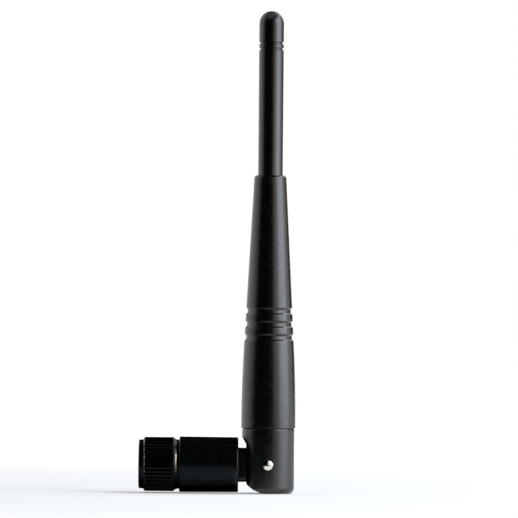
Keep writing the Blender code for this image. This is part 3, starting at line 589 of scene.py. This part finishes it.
cable_bore = cross_rod("cable_bore", CABLE_BORE_RADIUS, CABLE_BORE_LENGTH)
along_plug = Matrix.Rotation(math.pi / 2, 4, "Z")
cable_bore.transform(Matrix.Translation((-CABLE_BORE_LENGTH / 2, 0.0, 0.0)) @ along_plug)
base = carved(barrel, [
    ("UNION", tongue_blank()),
    ("DIFFERENCE", slab("channel", channel, TONGUE_CHANNEL)),
    ("DIFFERENCE", cross_rod("pin_hole", PIN_HOLE_RADIUS, 2 * TONGUE_THICKNESS)),
    ("DIFFERENCE", cable_bore),
], MOULDED_EDGE)
show("swivel_barrel", base, MAST_AXIS, "base", BARREL_PLASTIC, ["swivel_base"])

# Coupling nut: turned from brass, with a straight knurl, a plain lip in front and a right-hand 28 TPI
# thread inside, then plated glossy black. It spins on the connector behind its retaining ring. A patch of
# brass colour on the camera side of its rear chamfer is a painted highlight that brightens the glint
# there, shown as plating worn to the brass. The edge behind its lip is rubbed bright all round, which
# also paints that chamfer's highlight line brighter.
NUT_FRONT = HINGE.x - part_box("coupling_nut")[0].x
NUT_REAR = HINGE.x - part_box("coupling_nut")[1].x
NUT_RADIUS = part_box("coupling_nut")[1].y
NUT_LIP_RADIUS = 0.00653
NUT_LIP_LENGTH = 0.00125
NUT_LIP_FILLET = 0.0005
NUT_FRONT_CHAMFER = 0.00045
NUT_KNURL_REAR = NUT_REAR + 0.00133
NUT_BAND_RADIUS = 0.00685
NUT_BAND_TOP = NUT_REAR + 0.00098
NUT_COLLAR_RADIUS = 0.00660
NUT_COLLAR_TOP = NUT_REAR + 0.00045
NUT_COLLAR_END = NUT_REAR - 0.00018
NUT_FILLET = 0.0001
NUT_BORE_RADIUS = 0.00515
NUT_MOUTH_CHAMFER = 0.0006
NUT_MOUTH_STEPS = 8
NUT_RELIEF_REAR = 0.0271
NUT_RELIEF_FRONT = 0.0289
NUT_RELIEF_RADIUS = 0.00555
NUT_NECK_BORE = 0.0045
RING_GROOVE_REAR = 0.02502
RING_GROOVE_FRONT = 0.02592
RING_GROOVE_RADIUS = 0.0051
KNURL_TEETH = 44
KNURL_DEPTH = 0.00035
KNURL_CREST_SHARE = 0.35
KNURL_ROUNDING = 0.8
COLUMNS_A_TOOTH = 10
THREAD_PITCH = 0.0254 / 28
THREAD_DEPTH = 0.00042
THREAD_FLAT_SHARE = 0.125
RINGS_A_PITCH = 12
WORN_BRASS_GLINT = (0.30, 0.24, 0.175, 1.0)
RUBBED_METAL_SHEEN = (0.42, 0.40, 0.37, 1.0)

BLACK_PLATING = new_finish(
    "black_plating", TURNING, {"Axis X": 1.0, "Axis Y": 0.0, "Mark Scale": 7000.0},
    colours=((0.034, 0.033, 0.033), (0.022, 0.021, 0.021)),
    roughness=(0.20, 0.30), depth=0.0000010, metallic=1.0,
)


def distance_node(tree, middle, reach):
    """Distance of each point from a place, in shares of a reach along each axis."""
    offset = vector_node(tree, "SUBTRACT", own_place(tree), middle)
    return vector_node(tree, "LENGTH", vector_node(tree, "DIVIDE", offset, reach))


def wear_and_glint(material, middle, reach, limit, colour):
    """Paler metal colour with a ragged edge about a place on the piece, out to a reach along each axis.
    It is worn plating, and where it sits on a glint it is also a painted highlight.
    """
    tree = material.node_tree
    shader = tree.nodes["Principled BSDF"]
    flecks = noise_node(tree, own_place(tree), scale=1100.0, detail=3.0)
    ragged = math_node(tree, "ADD", distance_node(tree, middle, reach), flecks)
    glint_and_wear_mask = math_node(tree, "LESS_THAN", ragged, limit)
    plated = shader.inputs["Base Color"].links[0].from_socket
    feed(tree, shader.inputs["Base Color"], mix_colours(tree, glint_and_wear_mask, plated, colour))


# Painted highlight: brass colour on the camera side of the rear chamfer, just where the right softbox's
# glint falls, so that the glint renders brighter. It passes for plating worn to the brass.
rear_glint_patch = HINGE - Vector((NUT_COLLAR_TOP + 0.00015, NUT_COLLAR_RADIUS, -0.0004))
wear_and_glint(BLACK_PLATING, rear_glint_patch, reach=(0.00022, 0.0020, 0.0032), limit=1.35, colour=WORN_BRASS_GLINT)
# Rubbed bright metal all round the edge behind the lip, which also paints the front chamfer's highlight
# line brighter.
front_rubbed_sheen_band = HINGE - Vector((NUT_FRONT - NUT_LIP_LENGTH - 0.8 * NUT_FRONT_CHAMFER, 0.0, 0.0))
wear_and_glint(BLACK_PLATING, front_rubbed_sheen_band, reach=(0.0003, 1.0, 1.0), limit=0.58, colour=RUBBED_METAL_SHEEN)


def knurl(angle):
    """Share of the knurl's depth at an angle: flat crests with rounded grooves between them."""
    wave = 0.5 - 0.5 * math.cos(angle * KNURL_TEETH)
    return max(0.0, (wave - KNURL_CREST_SHARE) / (1 - KNURL_CREST_SHARE)) ** KNURL_ROUNDING


def thread(angle, height):
    """Share of the thread's depth in the bore: 60 degree flanks with flat crests and roots."""
    turns = (height / THREAD_PITCH - angle / math.tau) % 1.0
    share = (abs(2 * turns - 1) - THREAD_FLAT_SHARE) / (1 - 2 * THREAD_FLAT_SHARE)
    return min(1.0, max(0.0, share))


thread_low = NUT_RELIEF_FRONT
thread_high = NUT_FRONT - NUT_MOUTH_CHAMFER
rings = round((thread_high - thread_low) / THREAD_PITCH * RINGS_A_PITCH)
corners = [
    (NUT_LIP_RADIUS, NUT_FRONT, NUT_LIP_FILLET),
    (NUT_LIP_RADIUS, NUT_FRONT - NUT_LIP_LENGTH, NUT_FILLET),
    (NUT_RADIUS, NUT_FRONT - NUT_LIP_LENGTH - NUT_FRONT_CHAMFER, NUT_FILLET),
    (NUT_RADIUS, NUT_KNURL_REAR, NUT_FILLET),
    (NUT_BAND_RADIUS, NUT_BAND_TOP, NUT_FILLET),
    (NUT_COLLAR_RADIUS, NUT_COLLAR_TOP, NUT_FILLET),
    (NUT_COLLAR_RADIUS, NUT_COLLAR_END, NUT_FILLET),
    (NUT_NECK_BORE, NUT_COLLAR_END, NUT_FILLET),
    (NUT_NECK_BORE, RING_GROOVE_REAR, 0.0),
    (RING_GROOVE_RADIUS, RING_GROOVE_REAR, 0.0),
    (RING_GROOVE_RADIUS, RING_GROOVE_FRONT, 0.0),
    (NUT_NECK_BORE, RING_GROOVE_FRONT, 0.0),
    (NUT_NECK_BORE, NUT_RELIEF_REAR, 0.0),
    (NUT_RELIEF_RADIUS, NUT_RELIEF_REAR, 0.0),
    (NUT_RELIEF_RADIUS, NUT_RELIEF_FRONT, 0.0),
]
for i in range(rings + 1):
    corners.append((NUT_BORE_RADIUS, thread_low + (thread_high - thread_low) * i / rings, 0.0))
for i in range(1, NUT_MOUTH_STEPS + 1):
    rise = NUT_MOUTH_CHAMFER * i / NUT_MOUTH_STEPS
    corners.append((NUT_BORE_RADIUS + rise, thread_high + rise, 0.0))
nut = turned("nut", rounded(corners), KNURL_TEETH * COLUMNS_A_TOOTH)
for vertex in nut.vertices:
    x, y, height = vertex.co
    angle = math.atan2(y, x)
    radius = math.hypot(x, y)
    wanted = radius
    if radius > NUT_RADIUS - KNURL_DEPTH:
        wanted = min(radius, NUT_RADIUS - KNURL_DEPTH * knurl(angle))
    elif radius < NUT_LIP_RADIUS - THREAD_DEPTH and height > thread_low:
        wanted = max(radius, NUT_BORE_RADIUS + THREAD_DEPTH * thread(angle, height))
    vertex.co = (x * wanted / radius, y * wanted / radius, height)
show("knurled_nut", nut, PLUG_AXIS, "nut", BLACK_PLATING, ["coupling_nut"])

# Connector shell: one nickel-plated brass turning, from the slotted outer contact back through the
# gasket flange, the nut's neck and the swivel stem to the crimp tail.
SHELL_FRONT = NUT_FRONT - 0.0015
FLANGE_FRONT = SHELL_FRONT - 0.0050
FLANGE_REAR = FLANGE_FRONT - 0.0007
SHELL_NECK_REAR = BARREL_PLUG_FACE - 0.0005
SHELL_RADIUS = 0.0040
SHELL_BORE_RADIUS = 0.00335
FLANGE_RADIUS = 0.0049
NECK_RADIUS = 0.0043
STEM_RADIUS = 0.0030
STEM_GROOVE_REAR = 0.0168
STEM_GROOVE_FRONT = 0.0177
STEM_REAR = 0.01605
TAIL_RADIUS = 0.00155
TAIL_BORE_RADIUS = 0.00105
TAIL_REAR = 0.01245
RING_BITE = 0.00045
INSULATOR_FRONT = SHELL_FRONT - 0.0032
INSULATOR_REAR = SHELL_NECK_REAR + 0.00105
SEAT_GAP = 0.00015
FINGER_SLOT = 0.0005
FINGER_EDGE = 0.00005

PLUG_PLATING = new_finish(
    "nickel_shell_plating", TURNING, {"Axis X": 1.0, "Axis Y": 0.0, "Mark Scale": 9000.0},
    colours=((0.60, 0.57, 0.52), (0.52, 0.50, 0.46)),
    roughness=(0.22, 0.32), depth=0.0000010, metallic=1.0,
)
shell_steps = [
    (SHELL_RADIUS, SHELL_FRONT, FLANGE_FRONT),
    (FLANGE_RADIUS, FLANGE_FRONT, FLANGE_REAR),
    (NECK_RADIUS, FLANGE_REAR, RING_GROOVE_FRONT),
    (NECK_RADIUS - RING_BITE, RING_GROOVE_FRONT, RING_GROOVE_REAR),
    (NECK_RADIUS, RING_GROOVE_REAR, SHELL_NECK_REAR),
    (STEM_RADIUS, SHELL_NECK_REAR, STEM_GROOVE_FRONT),
    (STEM_RADIUS - RING_BITE, STEM_GROOVE_FRONT, STEM_GROOVE_REAR),
    (STEM_RADIUS, STEM_GROOVE_REAR, STEM_REAR),
    (TAIL_RADIUS, STEM_REAR, TAIL_REAR),
    (TAIL_BORE_RADIUS, TAIL_REAR, INSULATOR_REAR - SEAT_GAP),
    (SHELL_BORE_RADIUS, INSULATOR_REAR - SEAT_GAP, SHELL_FRONT),
]
outline = [(radius, height) for radius, start, end in shell_steps for height in (start, end)]
shell = turned("shell", outline, SMALL_ROUND_STEPS)
half = FINGER_SLOT / 2
saw = [(-half, INSULATOR_FRONT), (half, INSULATOR_FRONT), (half, NUT_FRONT), (-half, NUT_FRONT)]
saws = []
for turn in (math.pi / 4, 3 * math.pi / 4):
    blade = slab("saw", saw, 3 * SHELL_RADIUS)
    blade.transform(Matrix.Rotation(turn, 4, "Z"))
    saws.append(("DIFFERENCE", blade))
shell = carved(shell, saws, FINGER_EDGE)
show("connector_shell", shell, PLUG_AXIS, "connector", PLUG_PLATING, ["plug_body"])

# Insulator: a stepped bush turned from milky white fluoroplastic, which holds the contact in the middle
# of the shell.
CONTACT_RADIUS = 0.00105
COLLAR_RADIUS = 0.0015
COLLAR_LOW = INSULATOR_REAR + SEAT_GAP
COLLAR_HIGH = COLLAR_LOW + 0.0015
BUSH_RADIUS = SHELL_BORE_RADIUS - SEAT_GAP
BUSH_FILLET = 0.00012
WHITE_PLASTIC = new_finish(
    "white_fluoroplastic", TURNING, {"Axis X": 1.0, "Axis Y": 0.0, "Mark Scale": 6000.0},
    colours=((0.82, 0.82, 0.80), (0.76, 0.76, 0.74)),
    roughness=(0.40, 0.52), depth=0.000002,
)
bush = turned("insulator", rounded([
    (BUSH_RADIUS, INSULATOR_FRONT, BUSH_FILLET),
    (BUSH_RADIUS, INSULATOR_REAR, BUSH_FILLET),
    (COLLAR_RADIUS + SEAT_GAP, INSULATOR_REAR, 0.0),
    (COLLAR_RADIUS + SEAT_GAP, COLLAR_HIGH + SEAT_GAP, 0.0),
    (CONTACT_RADIUS + SEAT_GAP, COLLAR_HIGH + SEAT_GAP, 0.0),
    (CONTACT_RADIUS + SEAT_GAP, INSULATOR_FRONT, 0.0),
]), SMALL_ROUND_STEPS)
show(
    "insulator_bush", bush, PLUG_AXIS, "connector",
    WHITE_PLASTIC, ["connector_insulator"],
)

# Centre contact: a gold-plated socket with a round mouth, a locating collar, and a tail for the cable's
# core.
CONTACT_FRONT = SHELL_FRONT - 0.0014
CONTACT_REAR = INSULATOR_REAR - 0.0016
CONTACT_FILLET = 0.0001
CONTACT_STEPS = 64
SOCKET_RADIUS = 0.00068
SOCKET_DEPTH = 0.0038
SOCKET_LIP_FILLET = 0.00018
GOLD_PLATING = new_finish(
    "gold_plating", TURNING, {"Axis X": 1.0, "Axis Y": 0.0, "Mark Scale": 10000.0},
    colours=((0.85, 0.62, 0.26), (0.80, 0.56, 0.22)),
    roughness=(0.16, 0.26), depth=0.0000008, metallic=1.0,
)
contact = turned("contact", rounded([
    (0.0, CONTACT_FRONT - SOCKET_DEPTH, 0.0),
    (SOCKET_RADIUS, CONTACT_FRONT - SOCKET_DEPTH, 0.0),
    (SOCKET_RADIUS, CONTACT_FRONT, CONTACT_FILLET),
    (CONTACT_RADIUS, CONTACT_FRONT, SOCKET_LIP_FILLET),
    (CONTACT_RADIUS, COLLAR_HIGH, 0.0),
    (COLLAR_RADIUS, COLLAR_HIGH, CONTACT_FILLET),
    (COLLAR_RADIUS, COLLAR_LOW, CONTACT_FILLET),
    (TAIL_BORE_RADIUS - SEAT_GAP, COLLAR_LOW, 0.0),
    (TAIL_BORE_RADIUS - SEAT_GAP, CONTACT_REAR, CONTACT_FILLET),
    (0.0, CONTACT_REAR, 0.0),
]), CONTACT_STEPS)
show("contact_socket", contact, PLUG_AXIS, "connector", GOLD_PLATING, ["centre_contact"])

# Gasket: a flat ring of dull red silicone rubber on the shell's flange, which seals the thread. It is
# moulded, so it has soft edges and a matt face.
GASKET_LOW = FLANGE_FRONT + SEAT_GAP
GASKET_HIGH = GASKET_LOW + 0.0009
GASKET_BORE_RADIUS = SHELL_RADIUS + SEAT_GAP
GASKET_FILLET = 0.0002
SEAL_RUBBER = new_finish(
    "silicone_rubber", GRAIN, {"Grain Scale": 5000.0, "Patch Scale": 500.0},
    colours=((0.40, 0.085, 0.05), (0.46, 0.11, 0.07)),
    roughness=(0.55, 0.70), depth=0.000006,
)
gasket = turned("gasket", rounded([
    (GASKET_BORE_RADIUS, GASKET_HIGH, GASKET_FILLET),
    (FLANGE_RADIUS, GASKET_HIGH, GASKET_FILLET),
    (FLANGE_RADIUS, GASKET_LOW, GASKET_FILLET),
    (GASKET_BORE_RADIUS, GASKET_LOW, GASKET_FILLET),
]), SMALL_ROUND_STEPS)
show("seal_ring", gasket, PLUG_AXIS, "connector", SEAL_RUBBER, ["gasket"])

# Cable: a thin coaxial lead with a smooth brown jacket. It runs from the crimp through the barrel, bends
# in the hinge's channel and goes up the mast.
CABLE_RADIUS = 0.0009
CABLE_END_FILLET = 0.00005
CABLE_STEPS = 48
CABLE_BEND_RADIUS = 0.0030
CABLE_BEND_STEPS = 8
BARREL_JOIN = BARREL_HINGE_FACE + 0.0011
MAST_JOIN = SLOT_ROOF + 0.0015
CABLE_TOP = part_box("mast_coax")[1].z - HINGE.z
LEAD_END = HINGE.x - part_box("lead_coax")[0].x
CABLE_JACKET = new_finish(
    "cable_jacket", GRAIN, {"Grain Scale": 2500.0, "Patch Scale": 350.0},
    colours=((0.105, 0.060, 0.038), (0.090, 0.050, 0.032)),
    roughness=(0.26, 0.36), depth=0.000002,
)


def straight_cable(name, low, high):
    """Straight length of the cable along Z."""
    return turned(name, rounded([
        (0.0, low, 0.0),
        (CABLE_RADIUS, low, CABLE_END_FILLET),
        (CABLE_RADIUS, high, CABLE_END_FILLET),
        (0.0, high, 0.0),
    ]), CABLE_STEPS)


lead = straight_cable("lead", BARREL_JOIN, LEAD_END)
show("lead_cable", lead, PLUG_AXIS, "connector", CABLE_JACKET, ["lead_coax"])
riser = straight_cable("riser", MAST_JOIN, CABLE_TOP)
show("mast_cable", riser, MAST_AXIS, "mast", CABLE_JACKET, ["mast_coax"])

route = [(-BARREL_JOIN, 0.0)]
route += arc((-CABLE_BEND_RADIUS, CABLE_BEND_RADIUS), CABLE_BEND_RADIUS, -math.pi / 2, 0.0)
route.append((0.0, MAST_JOIN))
path = bpy.data.curves.new("bend", "CURVE")
path.dimensions = "3D"
path.bevel_depth = CABLE_RADIUS
path.bevel_resolution = CABLE_BEND_STEPS
path.use_fill_caps = True
bend = curve_mesh(path, [(x, 0.0, z) for x, z in route], closed=False)
hinge_cable = dressed("hinge_cable", bend, MAST_AXIS, CABLE_JACKET)
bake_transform(hinge_cable)

# Split rings and crimp ferrule: two flat C-shaped rings of bare spring bronze, one for the nut and one
# for the swivel, and a nickel-plated tube crimped over the cable's braid.
SPRING_BRONZE = new_finish(
    "spring_bronze", GRAIN, {"Grain Scale": 6000.0, "Patch Scale": 900.0},
    colours=((0.58, 0.38, 0.20), (0.48, 0.30, 0.15)),
    roughness=(0.28, 0.42), depth=0.000002, metallic=1.0,
)
NICKEL_PLATING = new_finish(
    "nickel_ferrule_plating", TURNING, {"Axis X": 1.0, "Axis Y": 0.0, "Mark Scale": 5000.0},
    colours=((0.64, 0.61, 0.56), (0.56, 0.54, 0.50)),
    roughness=(0.24, 0.36), depth=0.000002, metallic=1.0,
)


def refinish(finish, *nodes):
    """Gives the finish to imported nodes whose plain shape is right."""
    for name in nodes:
        data = frame["nodes"][name].data
        data.materials.clear()
        data.materials.append(finish)


refinish(SPRING_BRONZE, "retaining_ring", "swivel_ring")
refinish(NICKEL_PLATING, "crimp_ferrule")

# Radiator: a drawn brass sleeve for the lower half of the dipole and a bare copper wire for the upper
# half, with black heat-shrink tube over the wire and where the cable enters the mast.
RAW_BRASS = new_finish(
    "drawn_brass", GRAIN, {"Grain Scale": 3500.0, "Patch Scale": 300.0},
    colours=((0.74, 0.54, 0.24), (0.62, 0.43, 0.18)),
    roughness=(0.28, 0.42), depth=0.000002, metallic=1.0,
)
COPPER = new_finish(
    "bare_copper", GRAIN, {"Grain Scale": 5000.0, "Patch Scale": 500.0},
    colours=((0.80, 0.42, 0.28), (0.66, 0.32, 0.20)),
    roughness=(0.26, 0.40), depth=0.000001, metallic=1.0,
)
SHRINK_TUBE = new_finish(
    "heat_shrink", GRAIN, {"Grain Scale": 4000.0, "Patch Scale": 600.0},
    colours=((0.014, 0.014, 0.014), (0.020, 0.020, 0.020)),
    roughness=(0.45, 0.60), depth=0.000004,
)
refinish(RAW_BRASS, "dipole_sleeve")
refinish(COPPER, "whip_wire")
refinish(SHRINK_TUBE, "whip_tube", "cable_boot")

# Spacers: pale foam bushes that keep the cable, the sleeve and the wire in the middle of the cover, and
# a white plastic bush inside the sleeve.
FOAM = new_finish(
    "spacer_foam", GRAIN, {"Grain Scale": 2200.0, "Patch Scale": 700.0},
    colours=((0.72, 0.72, 0.68), (0.62, 0.62, 0.58)),
    roughness=(0.80, 0.95), depth=0.00008,
)
refinish(FOAM, "lower_spacer", "sleeve_spacer", "tip_spacer")
refinish(WHITE_PLASTIC, "feed_insulator")

# Studio: a white floor in a white room, a tall softbox to the right and a small one high behind. Black
# and grey cards that only reflections see draw the dark stripe down the mast, shade the plug's
# underside, and put a soft sheen on the tip.
STAGE_MIDDLE = Vector((HINGE.x, 0.0, 0.060))
SOFTBOX_DISTANCE = 0.8
RAISED = Matrix.Translation((0.0, 0.54, 0.0))
UPRIGHT = Matrix.Rotation(math.pi / 2, 4, "X")
FLOOR_CARD_HEIGHT = 0.0001
TIP_CARD_MIDDLE = Vector((HINGE.x - 0.001, -0.003, 0.135))
TIP_CARD_REACH = 0.013
TIP_CARD_FADE = (0.2, 1.0)
FLOOR_SIZE = 6.0
FLOOR_FADE = (0.10, 0.70)
FLOOR_GLOW = (0.16, 0.60)
ROOM_LIGHT = 0.50


def seen_directly(tree):
    """1 for rays from the camera, from reflections and through glass, and 0 for soft light."""
    rays = tree.nodes.new("ShaderNodeLightPath").outputs
    total = math_node(tree, "MAXIMUM", rays["Is Camera Ray"], rays["Is Glossy Ray"])
    return math_node(tree, "MAXIMUM", total, rays["Is Transmission Ray"])


def facing(azimuth, elevation, distance):
    """Place of a lamp or card that faces the stage's middle. Azimuth 0 is the camera's side."""
    sideways = math.sin(math.radians(azimuth)) * math.cos(math.radians(elevation))
    forwards = -math.cos(math.radians(azimuth)) * math.cos(math.radians(elevation))
    direction = Vector((sideways, forwards, math.sin(math.radians(elevation))))
    turn = direction.to_track_quat("Z", "Y").to_matrix().to_4x4()
    return Matrix.Translation(STAGE_MIDDLE + direction * distance) @ turn


def softbox(name, azimuth, elevation, width, height, radiance, colour):
    """Rectangular area lamp of an even brightness."""
    lamp = bpy.data.lights.new(name, "AREA")
    lamp.shape = "RECTANGLE"
    lamp.size = width
    lamp.size_y = height
    lamp.color = colour
    lamp.energy = radiance * math.pi * width * height
    holder = bpy.data.objects.new(name, lamp)
    bpy.context.scene.collection.objects.link(holder)
    holder.matrix_world = facing(azimuth, elevation, SOFTBOX_DISTANCE)


def card(name, place, width, height, material):
    """Flat rectangle that belongs to the studio."""
    bm = bmesh.new()
    bmesh.ops.create_grid(bm, x_segments=1, y_segments=1, size=0.5)
    mesh = new_mesh(name, bm)
    mesh.transform(place @ Matrix.Diagonal((width, height, 1.0, 1.0)))
    mesh.materials.append(material)
    thing = bpy.data.objects.new(name, mesh)
    bpy.context.scene.collection.objects.link(thing)
    return thing


def flag(name, place, width, height, material):
    """Card that only reflections see."""
    thing = card(name, place, width, height, material)
    thing.visible_camera = False
    thing.visible_diffuse = False
    thing.visible_shadow = False


def cloth(name, glow, colour=(1.0, 1.0, 1.0)):
    """Black or grey cloth that shows the same brightness from anywhere."""
    material = bpy.data.materials.new(name)
    material.use_nodes = True
    shader = material.node_tree.nodes["Principled BSDF"]
    shader.inputs["Base Color"].default_value = (0.0, 0.0, 0.0, 1.0)
    shader.inputs["Specular IOR Level"].default_value = 0.0
    shader.inputs["Emission Color"].default_value = (*colour, 1.0)
    shader.inputs["Emission Strength"].default_value = glow
    return material


BLACK_CLOTH = cloth("black_cloth", 0.0)
GREY_CLOTH = cloth("grey_cloth", 0.66, (0.92, 1.0, 1.03))
DIM_CLOTH = cloth("dim_cloth", 0.31, (0.75, 1.0, 1.15))
FAINT_CLOTH = cloth("faint_cloth", 0.12)
TIP_CLOTH = cloth("tip_cloth", 0.42, (0.92, 1.0, 1.03))
tree = TIP_CLOTH.node_tree
distance = distance_node(tree, TIP_CARD_MIDDLE, (TIP_CARD_REACH, TIP_CARD_REACH, 1.0))
fade = range_node(tree, distance, TIP_CARD_FADE, (1.0, 0.0), "SMOOTHSTEP")
feed(tree, tree.nodes["Principled BSDF"].inputs["Alpha"], fade)

softbox("right_softbox", 72, 28, width=0.74, height=1.0, radiance=3.0, colour=(0.89, 0.98, 1.08))
softbox("rim_softbox", 125, 52, width=0.30, height=0.30, radiance=5.0, colour=(1.0, 1.0, 1.0))
flag("front_flag", facing(-25, 0, 0.5) @ RAISED, 1.10, 1.2, BLACK_CLOTH)
flag("left_flag", facing(-83, 0, 0.7) @ RAISED, 0.28, 1.2, GREY_CLOTH)
flag("top_flag", Matrix.Translation((0.0, -0.25, 0.42)), 0.60, 0.9, BLACK_CLOTH)
flag("back_flag", Matrix.Translation((-0.05, 0.60, 0.82)) @ UPRIGHT, 0.40, 1.40, BLACK_CLOTH)
flag("right_flag", facing(140, 0, 0.8), 0.45, 0.5, BLACK_CLOTH)
for name, x, y, width, length, material in (
    ("low_flag", -0.20, -0.36, 1.0, 0.60, BLACK_CLOTH),
    ("side_flag", -0.369, -0.040, 0.662, 0.04, BLACK_CLOTH),
    ("near_flag", -0.0165, -0.0340, 0.043, 0.052, DIM_CLOTH),
    ("fade_flag", -0.0165, -0.0065, 0.043, 0.003, FAINT_CLOTH),
    ("under_flag", -0.0150, 0.0025, 0.046, 0.015, BLACK_CLOTH),
    ("slot_flag", 0.00675, -0.0400, 0.0035, 0.040, BLACK_CLOTH),
):
    flag(name, Matrix.Translation((x, y, FLOOR_CARD_HEIGHT)), width, length, material)
flag("tip_card", Matrix.Translation(TIP_CARD_MIDDLE), 2 * TIP_CARD_REACH, 2 * TIP_CARD_REACH, TIP_CLOTH)

floor_paint = bpy.data.materials.new("floor_paint")
floor_paint.use_nodes = True
tree = floor_paint.node_tree
shader = tree.nodes["Principled BSDF"]
shader.inputs["Base Color"].default_value = (0.80, 0.80, 0.80, 1.0)
shader.inputs["Roughness"].default_value = 0.9
shader.inputs["Specular IOR Level"].default_value = 0.0
shader.inputs["Emission Color"].default_value = (1.0, 1.0, 1.0, 1.0)
distance = vector_node(tree, "LENGTH", own_place(tree))
lift = range_node(tree, distance, FLOOR_FADE, FLOOR_GLOW, "SMOOTHSTEP")
feed(tree, shader.inputs["Emission Strength"], math_node(tree, "MULTIPLY", lift, seen_directly(tree)))
card("studio_floor", Matrix.Identity(4), FLOOR_SIZE, FLOOR_SIZE, floor_paint)

world = bpy.data.worlds.new("white_room")
bpy.context.scene.world = world
world.use_nodes = True
tree = world.node_tree
background = tree.nodes["Background"]
background.inputs["Color"].default_value = (1.0, 1.0, 1.0, 1.0)
brightness = range_node(tree, seen_directly(tree), (0.0, 1.0), (ROOM_LIGHT, 1.0))
feed(tree, background.inputs["Strength"], brightness)

# Camera: far away and level, straight in front of the hinge, and rolled by half a degree as in the
# photograph. Its field takes in 518 pixels at 3.75 pixels to the millimetre.
PHOTO_SIZE = 518
PIXEL = 0.001 / 3.75
HINGE_PIXEL = (267.9, 464.9)
CAMERA_DISTANCE = 2.5
CAMERA_ROLL = math.radians(-0.5)
SENSOR_MILLIMETRES = 36.0

camera_data = bpy.data.cameras.new("camera")
camera_data.sensor_width = SENSOR_MILLIMETRES
camera_data.lens = SENSOR_MILLIMETRES * CAMERA_DISTANCE / (PHOTO_SIZE * PIXEL)
camera = bpy.data.objects.new("camera", camera_data)
bpy.context.scene.collection.objects.link(camera)
turn = Matrix.Rotation(CAMERA_ROLL, 4, "Y") @ Matrix.Rotation(math.pi / 2, 4, "X")
across = (HINGE_PIXEL[0] - PHOTO_SIZE / 2) * PIXEL
down = (HINGE_PIXEL[1] - PHOTO_SIZE / 2) * PIXEL
eye = HINGE + turn.to_3x3() @ Vector((-across, down, CAMERA_DISTANCE))
camera.matrix_world = Matrix.Translation(eye) @ turn
bpy.context.scene.camera = camera
bpy.context.scene.view_settings.view_transform = "Standard"
